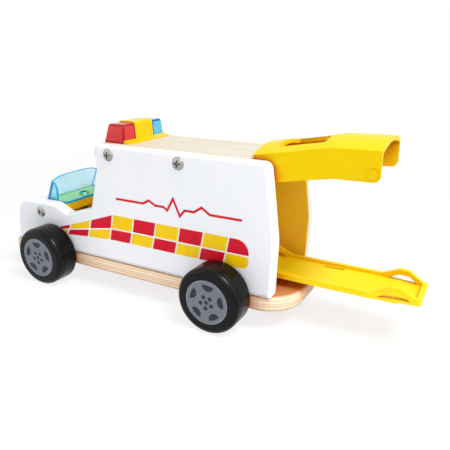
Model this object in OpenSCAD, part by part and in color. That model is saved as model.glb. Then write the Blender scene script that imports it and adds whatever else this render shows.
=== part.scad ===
// Wooden toy ambulance with a lift-up tailgate and a sliding stretcher.
// Millimetres, +X forward, +Y to the vehicle's left, +Z up, floor at zero.

/* [Wheels and axles] */
// Diameter of each wheel
wheel_d = 40; // [36:0.5:44]
// Width of each wheel
wheel_w = 16; // [12:0.5:18]
// Rounding of a wheel's outer shoulder
shoulder_r = 2.5; // [1:0.1:3.5]
// Rounding of a wheel's inner shoulder
inner_shoulder_r = 1; // [0.5:0.1:2]
// Distance of the tread groove from the wheel's outer face
groove_in = 4.6; // [4:0.1:6]
// Radius of the tread groove
groove_r = 0.5; // [0.3:0.05:0.8]
// Distance between the two axles
wheelbase = 134.5; // [124:0.5:145]
// Diameter of an axle
axle_d = 3.5; // [3:0.1:3.6]
// Depth of the axles' middle below the top of the base
axle_depth = 2; // [2:0.1:3]
// Depth of wheel left in front of the axle's end
axle_cover = 4; // [3:0.1:6]
// Diameter of a washer
washer_d = 9; // [7:0.1:11]
// Thickness of a washer
washer_t = 0.6; // [0.5:0.05:0.7]
// Gap between a wheel and the body, filled by the washer
wheel_gap = 1; // [1:0.05:1.6]

/* [Base board] */
// Thickness of the base board
base_t = 9.5; // [8:0.1:12]
// Length of base behind the side panels
base_rear_out = 11.6; // [8:0.1:16]
// Length of base ahead of the side panels
base_front_out = 5; // [1:0.1:7]
// Corner radius at the rear of the base
base_rear_r = 22; // [12:0.5:27]
// Corner radius at the front of the base
base_front_r = 4; // [3:0.1:12]
// Rounding of the base's edges
base_edge_r = 2.5; // [1:0.1:3.5]

/* [Side panels] */
// Width over both side panels
body_w = 62.8; // [60:0.1:66]
// Thickness of a side panel
panel_t = 8; // [7:0.1:9]
// Height of the side panels
body_h = 77; // [74:0.1:80]
// Rear axle to the rear foot of a panel
tail_out = 31.6; // [28:0.1:36]
// Height of the bend in a panel's rear edge
bend_h = 33.4; // [30:0.1:36]
// Backward lean of the rear edge below its bend
bend_out = 1.2; // [0.8:0.1:2]
// Forward lean of the rear edge above its bend
tail_lean = 5.4; // [4.5:0.1:6.5]
// Brow over the cab to the front axle
brow_back = 42.5; // [40.5:0.1:48.5]
// Height of the brow
brow_h = 15; // [12:0.1:18]
// Backward slope of the brow's lower edge
brow_in = 1.4; // [0.5:0.1:3]
// Forward slope of the cab's rear pillar
pillar_out = 6.3; // [3:0.1:9]
// Height of the pillar's foot
pillar_h = 34.4; // [32:0.1:38]
// Brow to the lowest place of the cab sill
sill_out = 28.5; // [24:0.1:31]
// Height of the cab sill
sill_h = 27; // [25:0.1:29]
// Sill to the rear of the hood
hood_out = 12.5; // [10:0.1:14]
// Height of the hood
hood_h = 32.3; // [30.5:0.1:34]
// Front axle to the nose
nose_out = 38.1; // [34:0.1:42]
// Backward lean of the nose
nose_lean = 5.6; // [3:0.1:8]
// Fall of the hood towards the nose
nose_fall = 1; // [0:0.1:3]
// Rounding at the upper corners of a panel
panel_top_r = 4.5; // [2:0.1:6]
// Rounding at the feet of a panel
panel_foot_r = 1.5; // [0.5:0.1:3]
// Rounding where the sill meets the pillar
sill_r = 3; // [1:0.1:4]
// Rounding along the hood
hood_r = 9; // [4:0.1:11]

/* [Roof, dash and nose] */
// Thickness of the roof board
roof_t = 11.2; // [9:0.1:12]
// Gap between the roof board and the raised tailgate's end
roof_gap = 0.6; // [0.4:0.1:2]
// Rounding of the roof board's front edge
roof_edge_r = 2; // [1:0.1:4]
// Length of the dash
dash_l = 19.6; // [18:0.1:22]
// Thickness of the dash over the footwell
dash_t = 5.4; // [4:0.1:7]
// Depth of the footwell below the dash
footwell_l = 8; // [4:0.1:10]
// Depth of the nose block's faces behind the panels' edges
nose_set = 0.5; // [0.3:0.1:1.5]

/* [Windscreen] */
// Thickness of the windscreen's walls
screen_t = 1.8; // [1.4:0.1:2]
// Height of the windscreen above its flange
screen_h = 16.8; // [13:0.1:18]
// Backward lean of the windscreen
screen_lean = 7.2; // [4:0.1:9]
// Height of the arch along the windscreen's upper edge
screen_arch = 3.4; // [1:0.1:4]
// Power of the arch: 2 is even, more keeps the middle straighter
arch_power = 4; // [2:1:6]
// Length of a side wing
wing_l = 9.9; // [9:0.1:14]
// Height of a wing's upright rear edge
wing_h = 8.5; // [6:0.1:10]
// Gap between the windscreen and the panels
screen_gap = 0.8; // [0.3:0.1:1.5]

/* [Light bar] */
// Length of the light bar across the roof
bar_l = 43; // [40:0.1:45]
// Width of the light bar's foot
bar_w = 21.2; // [18:0.1:22]
// Brow to the front of the light bar
bar_in = 0.4; // [0.4:0.1:3]
// Thickness of the foot's edge
foot_t = 0.8; // [0.6:0.1:1.5]
// Height of the foot's slope
foot_rise = 1.2; // [0.8:0.1:2]
// Length of the foot's slope
foot_slope_l = 4.6; // [3:0.1:6]
// Height of the lenses
lens_h = 9.8; // [8:0.1:12]
// Width of the yellow middle between the lenses
middle_l = 18.2; // [14:0.1:22]
// Height of the middle above the lenses
middle_up = 0.8; // [0.3:0.1:2]
// Slope of the lenses' front face
lens_front_in = 3.4; // [1:0.1:5]
// Slope of the lenses' rear face
lens_rear_in = 0.9; // [0.3:0.1:3]
// Slope of the lenses' ends
lens_end_in = 1.4; // [0.5:0.1:3]
// Rounding of the lenses' upper edges
lens_r = 1.8; // [0.8:0.1:2.5]

/* [Tailgate] */
// Wall thickness of the tailgate
tail_t = 2.3; // [1.8:0.1:2.6]
// Gap between the tailgate and the panels
tail_gap = 0.7; // [0.7:0.05:1.2]
// Rise of the crowned plate above its side edges
tail_crown = 4; // [3:0.1:5]
// Depth of the side flanges
flange_d = 15.6; // [14:0.1:17]
// Hinge axis ahead of the panels' upper rear corner
hinge_in = 7.1; // [6.6:0.1:7.6]
// Hinge axis below the roof
hinge_drop = 4.8; // [4.4:0.1:5.2]
// Length of tailgate beyond its hinge axis
hinge_end = 4; // [3.6:0.1:4.4]
// Radius of the flanges' hinge eye
eye_r = 4.4; // [4:0.1:4.8]
// Hinge axis to the full depth of a flange
step_out = 7.8; // [7.4:0.1:9]
// Length of the step in a flange
step_l = 2.1; // [1.5:0.1:3]
// Flange's lower edge to the line that the plate is bent about
bend_under = 10; // [6:0.5:14]
// Swing from closed to raised, in degrees
tail_swing = 93; // [88:0.5:96]
// Height of the closed tailgate's lower edge above the base
tail_foot_h = 9.2; // [9.2:0.1:12]
// Rounding of the flanges' lower corners
flange_r = 3.4; // [2:0.1:5]
// Diameter of a hinge pin
pin_d = 4; // [3:0.1:4.6]
// Depth of a hinge pin in its panel
pin_in = 5; // [4:0.1:6]
// Length of the window slot in the tailgate
slot_l = 26.8; // [20:0.1:28]
// Width of the window slot
slot_w = 30; // [14:0.1:32]
// Hinge axis to the window slot
slot_out = 7.5; // [7:0.1:10]
// Corner rounding of the window slot
slot_r = 2.6; // [1:0.1:4]
// Diameter of a catch nub
nub_d = 5.4; // [3:0.1:6]
// Height of a catch nub
nub_h = 0.4; // [0.2:0.05:0.4]
// Catch nub to the tailgate's free end
nub_end = 3.6; // [3:0.1:6]
// Catch nub to the flange's lower edge
nub_up = 4; // [3.4:0.1:7]

/* [Stretcher] */
// Length of the stretcher
litter_l = 108; // [100:0.5:112]
// Width of the stretcher
litter_w = 32.4; // [28:0.1:33]
// Rear axle to the stretcher's outer end
litter_out = 107.6; // [100:0.1:112]
// Thickness of the stretcher's bed
bed_t = 1.5; // [1.2:0.1:1.8]
// Width of a rail
rail_w = 2.6; // [2:0.1:3.2]
// Height of a rail
rail_h = 3.3; // [2.8:0.1:3.4]
// Length of a hand loop
loop_l = 25.6; // [22:0.1:30]
// Rise of a hand loop
loop_rise = 5; // [4:0.1:5.5]
// Narrowing of the stretcher at each end
loop_taper = 3.4; // [2:0.1:5]
// Height of a runner below the bed
runner_h = 5; // [4.6:0.1:5.1]
// Width of a runner
runner_w = 2; // [1.6:0.1:3]
// Distance between the two runners
runner_pitch = 9; // [7:0.1:14]
// Length of a strap slot
strap_l = 13; // [10:0.1:18]
// Width of a strap slot
strap_w = 2.5; // [2:0.1:3]

/* [Screws] */
// Diameter of a panel screw's head
head_d = 8; // [6:0.1:9]
// Height of a panel screw's head
head_h = 1.6; // [1:0.1:2.2]
// Diameter of a screw's shank
shank_d = 3; // [2.4:0.1:3.4]
// Length of a panel screw's shank
shank_l = 18; // [14:0.1:20]
// Size of a screw's cross recess
cross_l = 4.2; // [3:0.1:5]
// Width of the recess' arms
cross_w = 0.9; // [0.6:0.1:1.2]
// Depth of the recess
cross_d = 0.8; // [0.5:0.1:1]
// Diameter of a countersunk head under the base
sunk_d = 5; // [4.4:0.1:5.4]
// Depth of a countersunk head
sunk_h = 1.8; // [1.4:0.1:2.2]
// Length of the screws under the base
base_screw_l = 22; // [18:0.1:26]

/* [Clearances] */
// Running clearance around axles and hinge pins
run_gap = 0.06; // [0.03:0.01:0.1]
// Clearance around fixed screws and pressed pins
fix_gap = 0.02; // [0.01:0.01:0.05]
// Clearance under the stretcher's runners
slide_gap = 0.2; // [0.1:0.05:0.3]
// Clearance beside the stretcher
side_gap = 0.5; // [0.4:0.1:1]

/* [Hidden] */
$fn = 72;
arc_steps = 10;
edge_steps = 4;
crown_steps = 18;
bend_steps = 3;
overrun = 1;
weld = 0.02;
quarter = 90;
half = 180;
full = 360;

axle_z = wheel_d / 2;
axle_r = axle_d / 2;
base_top = axle_z + axle_depth;
base_low = base_top - base_t;
roof_z = base_top + body_h;
roof_low = roof_z - roof_t;
roof_mid = roof_z - roof_t / 2;
body_half = body_w / 2;
inner_half = body_half - panel_t;

nose_x = wheelbase + nose_out;
front_x = nose_x + base_front_out;
brow_x = wheelbase - brow_back;
rear_x = -tail_out - base_rear_out;
mid_x = (front_x - litter_out) / 2;
tail_top_x = -tail_out - bend_out + tail_lean;
bend_z = base_top + bend_h;
sill_x = brow_x + sill_out;
hood_x = sill_x + hood_out;
hood_z = base_top + hood_h;

// Places along the panels, as shares of the sizes that they follow
roof_screw_shares = [0.305, 0.868];
base_screw_shares = [-0.15, 0.46, 0.85, 1.18];
base_screw_in_share = 0.65;
nose_cheek_share = 0.5;
nose_bulge_share = 0.28;
dash_screw_share = 0.7;
dash_screw_rise_share = 0.77;
loop_peak_shares = [0.4, 0.61];
light_screw_share = 0.26;
screen_screw_share = 0.3;

panel_points = [
    [-tail_out, base_top],
    [-tail_out - bend_out, bend_z],
    [tail_top_x, roof_z],
    [brow_x, roof_z],
    [brow_x - brow_in, roof_z - brow_h],
    [brow_x + pillar_out, base_top + pillar_h],
    [sill_x, base_top + sill_h],
    [hood_x, hood_z],
    [nose_x - nose_lean, hood_z - nose_fall],
    [nose_x - nose_lean * nose_bulge_share, base_top + hood_h * nose_cheek_share],
    [nose_x, base_top]];
panel_radii = [panel_foot_r, hood_r, panel_top_r, panel_top_r, hood_r,
    sill_r, sill_r, hood_r, hood_r, hood_r, panel_foot_r];

dash_x = hood_x - hood_r / 2 + weld;
dash_front_x = dash_x + dash_l;
dash_top = hood_z - screen_t - weld;
flange_top = dash_top + screen_t;
dash_screw_x = dash_x + dash_l * dash_screw_share + footwell_l / 2;
dash_screw_z = base_top + hood_h * dash_screw_rise_share;

screen_half = inner_half - screen_gap;
arch_steps = 32;

bar_front_x = brow_x - bar_in;
bar_rear_x = bar_front_x - bar_w;
lens_rear_x = bar_rear_x + foot_slope_l;
lens_z = roof_z + foot_t + foot_rise;
light_mid_x = (lens_rear_x + bar_front_x) / 2;

lean_angle = atan2(tail_lean, roof_z - bend_z);
bend_angle = lean_angle + atan2(bend_out, bend_h);
raise_angle = tail_swing - (quarter - lean_angle);
hinge_x = tail_top_x + hinge_in;
hinge_z = roof_z - hinge_drop;
pin_r = pin_d / 2;
tail_half = inner_half - tail_gap;
crease = hinge_in * cos(lean_angle) + hinge_drop * sin(lean_angle);
flange_low = crease - flange_d;
bend_a = (hinge_z - bend_z) * cos(lean_angle) + (hinge_in + tail_lean) * sin(lean_angle);
tip_l = (bend_h - tail_foot_h) / cos(bend_angle - lean_angle);
crown_r = (tail_half * tail_half + tail_crown * tail_crown) / (2 * tail_crown);
sky = crease + 2 * tail_crown;
bend_r = flange_d + bend_under;
bend_start = bend_a - bend_r * tan(bend_angle / 2);
tip_run = tip_l - bend_r * tan(bend_angle / 2);
roof_rear_x = hinge_x + hinge_end * cos(raise_angle) + (crease - tail_t) * sin(raise_angle) + roof_gap;

litter_y = -(tail_half - tail_t - side_gap - litter_w / 2);
litter_z = base_top + slide_gap + runner_h;
loop_corner_r = rail_w / 2;

wheel_y = body_half + wheel_gap;
axle_half = wheel_y + wheel_w - axle_cover;

function unit(v) = v / norm(v);

// Points of the arc that rounds the corner p between the points a and b
function corner_arc(p, a, b, r) =
    let (u = unit(a - p), v = unit(b - p), open = acos(u * v) / 2)
    let (middle = p + unit(u + v) * r / sin(open))
    let (first = p + u * r / tan(open) - middle, last = p + v * r / tan(open) - middle)
    let (start = atan2(first.y, first.x), turn = atan2(last.y, last.x) - start)
    let (sweep = turn > half ? turn - full : turn < -half ? turn + full : turn)
    [for (i = [0 : arc_steps])
        middle + r * [cos(start + sweep * i / arc_steps), sin(start + sweep * i / arc_steps)]];

// A polygon's points with each corner rounded by its own radius
function rounded(points, radii) =
    let (n = len(points))
    [for (i = [0 : n - 1]) each radii[i] == 0 ? [points[i]]
        : corner_arc(points[i], points[(i + n - 1) % n], points[(i + 1) % n], radii[i])];

// Rounded rectangle of one corner radius, around its middle
function rounded_box(l, w, r) =
    rounded([[-l / 2, -w / 2], [l / 2, -w / 2], [l / 2, w / 2], [-l / 2, w / 2]], [r, r, r, r]);

// Children drawn in x and z, made as thick as y runs from lo to hi
module across(lo, hi) {
    translate([0, hi, 0])
        rotate([quarter, 0, 0])
            linear_extrude(hi - lo)
                children();
}

// Children placed in the part's own frame
module placed() {
    translate([-mid_x, 0, 0])
        children();
}

// Children copied to the left and to the right
module both_sides() {
    children();
    mirror([0, 1, 0])
        children();
}

function base_plan(set) =
    rounded([[rear_x + set, -body_half + set], [front_x - set, -body_half + set],
        [front_x - set, body_half - set], [rear_x + set, body_half - set]],
        [base_rear_r - set, base_front_r - set, base_front_r - set, base_rear_r - set]);

// Rounded edges: each step of the rounding is a thin plan, and all lie in one hull
module base_body() {
    hull()
        for (i = [0 : edge_steps]) {
            set = base_edge_r * (1 - sin(quarter * i / edge_steps));
            fall = base_edge_r * (1 - cos(quarter * i / edge_steps));
            translate([0, 0, base_low + fall])
                linear_extrude(base_t - 2 * fall)
                    polygon(base_plan(set));
        }
}

// Half-round channel in the top of the base for an axle
module axle_channel(x) {
    translate([x, body_half + overrun, axle_z]) {
        rotate([quarter, 0, 0])
            cylinder(r = axle_r + run_gap, h = body_w + 2 * overrun);
        translate([-axle_r - run_gap, -body_w - 2 * overrun, 0])
            cube([axle_d + 2 * run_gap, body_w + 2 * overrun, axle_depth + overrun]);
    }
}

// Places of the screws under the base: panels, dash and nose
module at_base_screws() {
    for (share = base_screw_shares, side = [-1, 1])
        translate([wheelbase * share, side * (body_half - panel_t * base_screw_in_share), base_low])
            children();
    translate([dash_front_x - dash_l / 4, 0, base_low])
        children();
    translate([(dash_front_x + nose_x) / 2, 0, base_low])
        children();
}

module base_screw(gap) {
    cylinder(r1 = sunk_d / 2 + gap, r2 = shank_d / 2 + gap, h = sunk_h);
    cylinder(r = shank_d / 2 + gap, h = base_screw_l + gap);
}

module cross_recess() {
    for (turn = [0, quarter])
        rotate([0, 0, turn])
            translate([-cross_l / 2, -cross_w / 2, -cross_d])
                cube([cross_l, cross_w, cross_d + overrun]);
}

module base_board() {
    color("burlywood")
        placed()
            difference() {
                base_body();
                axle_channel(0);
                axle_channel(wheelbase);
                at_base_screws()
                    base_screw(fix_gap);
            }
}

module base_screws() {
    color("silver")
        placed()
            at_base_screws()
                difference() {
                    base_screw(0);
                    mirror([0, 0, 1])
                        cross_recess();
                }
}

// Places of the panel screws on the left outer face, heads outward
module at_panel_screws() {
    for (share = roof_screw_shares)
        translate([brow_x * share, body_half, roof_mid])
            rotate([-quarter, 0, 0])
                children();
    translate([dash_screw_x, body_half, dash_screw_z])
        rotate([-quarter, 0, 0])
            children();
}

module panel_screw_bores() {
    both_sides()
        at_panel_screws()
            translate([0, 0, -shank_l - fix_gap])
                cylinder(r = shank_d / 2 + fix_gap, h = shank_l + overrun);
}

module panel_screw_set() {
    dome_r = (head_d * head_d / 4 + head_h * head_h) / (2 * head_h);
    at_panel_screws() {
        translate([0, 0, -shank_l])
            cylinder(d = shank_d, h = shank_l + head_h / 4);
        difference() {
            rotate_extrude()
                intersection() {
                    translate([0, head_h - dome_r])
                        circle(dome_r, $fn = 4 * $fn);
                    square([head_d / 2, head_h]);
                }
            translate([0, 0, head_h])
                cross_recess();
        }
    }
}

module panel() {
    difference() {
        across(inner_half, body_half)
            polygon(rounded(panel_points, panel_radii));
        at_base_screws()
            base_screw(fix_gap);
        panel_screw_bores();
        translate([hinge_x, inner_half + pin_in, hinge_z])
            rotate([quarter, 0, 0])
                cylinder(r = pin_r + fix_gap, h = pin_in + overrun);
    }
}

module left_panel() {
    color("white")
        placed()
            panel();
}

module right_panel() {
    color("white")
        placed()
            mirror([0, 1, 0])
                panel();
}

module left_panel_screws() {
    color("silver")
        placed()
            panel_screw_set();
}

module right_panel_screws() {
    color("silver")
        placed()
            mirror([0, 1, 0])
                panel_screw_set();
}

module roof_board() {
    points = [[roof_rear_x, roof_low], [roof_rear_x, roof_z], [brow_x - nose_set, roof_z],
        [brow_x - nose_set, roof_low]];
    color("wheat")
        placed()
            difference() {
                across(-inner_half, inner_half)
                    polygon(rounded(points, [0, 0, roof_edge_r, 0]));
                panel_screw_bores();
                at_light_screws()
                    light_screw(fix_gap);
            }
}

module dash_block() {
    points = [[dash_x + footwell_l, base_top], [dash_x + footwell_l, dash_top - dash_t],
        [dash_x, dash_top - dash_t], [dash_x, dash_top], [dash_front_x, dash_top], [dash_front_x, base_top]];
    color("gold")
        placed()
            difference() {
                across(-inner_half, inner_half)
                    polygon(points);
                panel_screw_bores();
                at_base_screws()
                    base_screw(fix_gap);
                at_screen_screw()
                    screen_screw_bore();
            }
}

module nose_block() {
    top = hood_z - nose_set;
    points = [[dash_front_x, base_top], [dash_front_x, top],
        [nose_x - nose_lean - nose_set, top - nose_fall],
        [nose_x - nose_lean * nose_bulge_share - nose_set, base_top + hood_h * nose_cheek_share],
        [nose_x - nose_set, base_top]];
    color("white")
        placed()
            difference() {
                across(-inner_half, inner_half)
                    polygon(rounded(points, [0, 0, hood_r, hood_r, 0]));
                at_base_screws()
                    base_screw(fix_gap);
            }
}

// Place of the screw through the windscreen's flange
module at_screen_screw() {
    translate([dash_x + dash_l * screen_screw_share, 0, flange_top])
        children();
}

module screen_screw_bore() {
    translate([0, 0, -shank_l])
        cylinder(r = shank_d / 2 + fix_gap, h = shank_l + overrun);
}

module windscreen_screw() {
    color("silver")
        placed()
            at_screen_screw() {
                translate([0, 0, -shank_l + fix_gap])
                    cylinder(d = shank_d, h = shank_l);
                difference() {
                    cylinder(r1 = head_d / 2, r2 = head_d / 3, h = head_h);
                    translate([0, 0, head_h])
                        cross_recess();
                }
            }
}

module windscreen() {
    wall_x = dash_front_x - weld;
    top_z = flange_top + screen_h;
    over_lean = screen_lean * (screen_h + overrun) / screen_h;
    wing_top = top_z - screen_arch - screen_t / 2;
    wing_x = wall_x - screen_lean * (wing_top - flange_top) / screen_h;
    wall = [[wall_x - screen_t, flange_top - weld], [wall_x, flange_top - weld],
        [wall_x - over_lean, top_z + overrun], [wall_x - over_lean - screen_t, top_z + overrun]];
    arch = [for (i = [0:arch_steps])
        let (share = 1 - 2 * i / arch_steps)
        [(screen_half + weld) * share, top_z - screen_arch * pow(abs(share), arch_power)]];
    front = concat([[-screen_half - weld, dash_top], [screen_half + weld, dash_top]], arch);
    wing = [[wall_x - wing_l, flange_top - weld], [wall_x - wing_l, flange_top + wing_h],
        [wing_x - screen_t, wing_top], [wing_x - screen_t / 2, wing_top],
        [wall_x - screen_t / 2, flange_top - weld]];
    wing_arc_r = wing_top - flange_top - wing_h;
    color("deepskyblue", 0.5)
        placed() {
            difference() {
                translate([dash_x, -screen_half, dash_top])
                    cube([dash_l - weld, 2 * screen_half, screen_t]);
                at_screen_screw()
                    screen_screw_bore();
            }
            intersection() {
                across(-screen_half, screen_half)
                    polygon(wall);
                rotate([quarter, 0, quarter])
                    linear_extrude(nose_x)
                        polygon(front);
            }
            both_sides()
                across(screen_half - screen_t, screen_half)
                    polygon(rounded(wing, [0, wing_arc_r, 0, 0, 0]));
        }
}

// Places of the screws that hold the light bar from below
module at_light_screws() {
    for (side = [-1, 1])
        translate([light_mid_x, side * middle_l * light_screw_share, roof_low])
            children();
}

module light_screw(gap) {
    cylinder(r1 = sunk_d / 2 + gap, r2 = shank_d / 2 + gap, h = sunk_h);
    cylinder(r = shank_d / 2 + gap, h = roof_t + lens_h / 2 + gap);
}

module light_screws() {
    color("silver")
        placed()
            at_light_screws()
                difference() {
                    light_screw(0);
                    mirror([0, 0, 1])
                        cross_recess();
                }
}

// Outline of the lights from the side, from the height low and with an upper edge raised by up
function light_outline(low, up) =
    rounded([[lens_rear_x, low], [lens_rear_x + lens_rear_in, lens_z + lens_h + up],
        [bar_front_x - lens_front_in, lens_z + lens_h + up], [bar_front_x, low]],
        [0, lens_r, lens_r, 0]);

module light_base() {
    skirt = [[bar_rear_x, roof_z], [bar_rear_x, roof_z + foot_t], [lens_rear_x, lens_z], [lens_rear_x, roof_z]];
    foot = [[lens_rear_x - weld, roof_z], [lens_rear_x - weld, lens_z], [bar_front_x, lens_z],
        [bar_front_x, roof_z]];
    color("gold")
        placed()
            difference() {
                union() {
                    intersection() {
                        across(-bar_l / 2, bar_l / 2)
                            polygon(skirt);
                        translate([(bar_front_x + bar_rear_x) / 2, 0, roof_z])
                            linear_extrude(lens_h)
                                polygon(rounded_box(bar_w, bar_l, lens_r));
                    }
                    across(-middle_l / 2, middle_l / 2)
                        polygon(foot);
                    across(-middle_l / 2, middle_l / 2)
                        polygon(light_outline(lens_z - weld, middle_up));
                }
                at_light_screws()
                    light_screw(fix_gap);
            }
}

// One lens on the left of the light bar's middle
module lens() {
    ends = [[middle_l / 2, roof_z], [bar_l / 2, roof_z],
        [bar_l / 2 - lens_end_in, lens_z + lens_h], [middle_l / 2, lens_z + lens_h]];
    intersection() {
        across(middle_l / 2, bar_l / 2)
            polygon(light_outline(roof_z, 0));
        translate([bar_rear_x, 0, 0])
            rotate([quarter, 0, quarter])
                linear_extrude(bar_w)
                    polygon(rounded(ends, [0, 0, lens_r, 0]));
        translate([(bar_front_x + lens_rear_x) / 2, 0, roof_z])
            linear_extrude(2 * lens_h)
                polygon(rounded_box(bar_front_x - lens_rear_x, bar_l, lens_r));
    }
}

module red_lens() {
    color("red", 0.8)
        placed()
            lens();
}

module blue_lens() {
    color("dodgerblue", 0.8)
        placed()
            mirror([0, 1, 0])
                lens();
}

// Height of a crowned surface of radius r at the distance y from the middle
function crown_at(y, r) = crease + tail_crown - crown_r + sqrt(r * r - y * y);

// Cross-section of the tailgate: a crowned plate between two flanges
function tail_section() =
    let (inner = tail_half - tail_t, deep = flange_low - overrun)
    let (steps = [for (i = [0 : crown_steps]) 2 * i / crown_steps - 1])
    concat([for (k = steps) [k * tail_half, crown_at(k * tail_half, crown_r)]],
        [[tail_half, deep], [inner, deep]],
        [for (k = steps) [-k * inner, crown_at(k * inner, crown_r - tail_t)]],
        [[-inner, deep], [-tail_half, deep]]);

// A point of the section after the plate has turned and has run on beyond the bend
function tail_point(p, turn, run) =
    let (r = p.y - crease + bend_r)
    [-bend_start - run * cos(turn) - r * sin(turn), p.x, crease - bend_r - run * sin(turn) + r * cos(turn)];

// The section swept from the hinge end round the bend to the free end
module tail_sweep() {
    section = tail_section();
    stations = concat([[0, -bend_start - hinge_end - overrun]],
        [for (i = [0 : bend_steps]) [bend_angle * i / bend_steps, 0]], [[bend_angle, tip_run + overrun]]);
    n = len(section);
    last = (len(stations) - 1) * n;
    cap = concat([for (i = [0 : crown_steps - 1]) [i, i + 1, n - 4 - i, n - 3 - i]],
        [[n - 3, n - 2, n - 1, 0]],
        [[crown_steps, crown_steps + 1, crown_steps + 2, crown_steps + 3]]);
    quads = concat(cap,
        [for (j = [0 : n : last - n]) each [for (i = [0 : n - 1])
            [j + i, j + n + i, j + n + (i + 1) % n, j + (i + 1) % n]]],
        [for (q = cap) [last + q[3], last + q[2], last + q[1], last + q[0]]]);
    polyhedron(
        points = [for (s = stations) each [for (p = section) tail_point(p, s[0], s[1])]],
        faces = [for (q = quads) each [[q[0], q[1], q[2]], [q[0], q[2], q[3]]]]);
}

// Outline of the tailgate from the side, with its hinge eye and rounded lower corner
module tail_outline() {
    low = tail_point([0, flange_low], bend_angle, tip_run);
    high = tail_point([0, sky], bend_angle, tip_run);
    under = tail_point([0, flange_low], bend_angle, 0);
    over = tail_point([0, sky], bend_angle, 0);
    across(-tail_half - overrun, tail_half + overrun)
        polygon(rounded([[hinge_end, sky], [over.x, over.z], [high.x, high.z], [low.x, low.z], [under.x, under.z],
            [-bend_start, flange_low], [-step_out, flange_low], [-step_out + step_l, -eye_r], [hinge_end, -eye_r]],
            [0, 0, 0, flange_r, 0, 0, step_l / 2, 0, hinge_end / 2]));
}

module catch_nubs() {
    spot = tail_point([0, flange_low + nub_up], bend_angle, tip_run - nub_end);
    both_sides()
        translate([spot.x, tail_half - tail_t / 2, spot.z])
            rotate([-quarter, 0, 0])
                cylinder(d = nub_d, h = nub_h + tail_t / 2);
}

module tailgate_body() {
    intersection() {
        tail_sweep();
        tail_outline();
    }
    catch_nubs();
}

module tailgate() {
    color("gold")
        placed()
            translate([hinge_x, 0, hinge_z])
                rotate([0, raise_angle, 0])
                    difference() {
                        tailgate_body();
                        translate([-slot_out - slot_l / 2, 0, 0])
                            linear_extrude(sky)
                                polygon(rounded_box(slot_l, slot_w, slot_r));
                        translate([0, body_half, 0])
                            rotate([quarter, 0, 0])
                                cylinder(r = pin_r + run_gap, h = body_w);
                    }
}

module tailgate_pins() {
    color("silver")
        placed()
            both_sides()
                translate([hinge_x, inner_half + pin_in - fix_gap, hinge_z])
                    rotate([quarter, 0, 0])
                        cylinder(r = pin_r, h = pin_in + tail_gap + tail_t);
}

// Plan of the stretcher, its edges moved inward by set
function litter_plan(set) =
    let (end_half = litter_w / 2 - loop_taper - set, half_w = litter_w / 2 - set)
    rounded([[set, -end_half], [loop_l, -half_w], [litter_l - loop_l, -half_w], [litter_l - set, -end_half],
        [litter_l - set, end_half], [litter_l - loop_l, half_w], [loop_l, half_w], [set, end_half]],
        [loop_corner_r, 0, 0, loop_corner_r, loop_corner_r, 0, 0, loop_corner_r]);

// Height of the rails from one end to the other, as seen from the side
function rail_line(up) =
    let (peaks = [loop_l * loop_peak_shares[0], loop_l * loop_peak_shares[1]])
    [[-overrun, up], [rail_w, up], [peaks[0], up + loop_rise], [peaks[1], up + loop_rise], [loop_l, up],
        [litter_l - loop_l, up], [litter_l - peaks[1], up + loop_rise],
        [litter_l - peaks[0], up + loop_rise], [litter_l - rail_w, up], [litter_l + overrun, up]];

module rails() {
    low = rail_line(0);
    high = rail_line(rail_h);
    n = len(low);
    intersection() {
        difference() {
            linear_extrude(loop_rise + rail_h + overrun)
                polygon(litter_plan(0));
            translate([0, 0, -overrun])
                linear_extrude(loop_rise + rail_h + 3 * overrun)
                    polygon(litter_plan(rail_w));
        }
        across(-litter_w, litter_w)
            polygon(concat(low, [for (i = [n - 1 : -1 : 0]) high[i]]));
    }
}

module stretcher() {
    color("yellow")
        placed()
            translate([-litter_out, litter_y, litter_z])
                difference() {
                    union() {
                        linear_extrude(bed_t)
                            polygon(litter_plan(0));
                        rails();
                        both_sides()
                            translate([loop_l / 2, runner_pitch / 2 - runner_w / 2, -runner_h])
                                cube([litter_l - loop_l, runner_w, runner_h + bed_t / 2]);
                    }
                    for (side = [-1, 1])
                        translate([litter_l / 2, side * (litter_w / 2 - rail_w - strap_w), -overrun])
                            linear_extrude(bed_t + 2 * overrun)
                                polygon(rounded_box(strap_l, strap_w, strap_w / 3));
                }
}

module axle(x) {
    placed()
        translate([x, axle_half, axle_z])
            rotate([quarter, 0, 0])
                cylinder(r = axle_r, h = 2 * axle_half);
}

module front_axle() {
    color("silver")
        axle(wheelbase);
}

module rear_axle() {
    color("silver")
        axle(0);
}

module washers(x) {
    placed()
        both_sides()
            translate([x, body_half + wheel_gap / 2 - washer_t / 2, axle_z])
                rotate([-quarter, 0, 0])
                    difference() {
                        cylinder(d = washer_d, h = washer_t);
                        translate([0, 0, -overrun])
                            cylinder(r = axle_r + fix_gap, h = washer_t + 2 * overrun);
                    }
}

module front_washers() {
    color("silver")
        washers(wheelbase);
}

module rear_washers() {
    color("silver")
        washers(0);
}

// Half section of a wheel: radius against distance from its inner face
module wheel_section() {
    wheel_r = wheel_d / 2;
    difference() {
        union() {
            square([wheel_r - shoulder_r, wheel_w]);
            translate([0, inner_shoulder_r])
                square([wheel_r, wheel_w - shoulder_r - inner_shoulder_r]);
            translate([wheel_r - shoulder_r, wheel_w - shoulder_r])
                circle(shoulder_r);
            square([wheel_r - inner_shoulder_r, wheel_w / 2]);
            translate([wheel_r - inner_shoulder_r, inner_shoulder_r])
                circle(inner_shoulder_r);
        }
        translate([wheel_r, wheel_w - groove_in])
            circle(groove_r);
        translate([-overrun, -overrun])
            square([axle_r + fix_gap + overrun, wheel_w - axle_cover + fix_gap + overrun]);
    }
}

module wheel(x) {
    color("dimgray")
        placed()
            translate([x, wheel_y, axle_z])
                rotate([-quarter, 0, 0])
                    rotate_extrude()
                        wheel_section();
}

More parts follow.
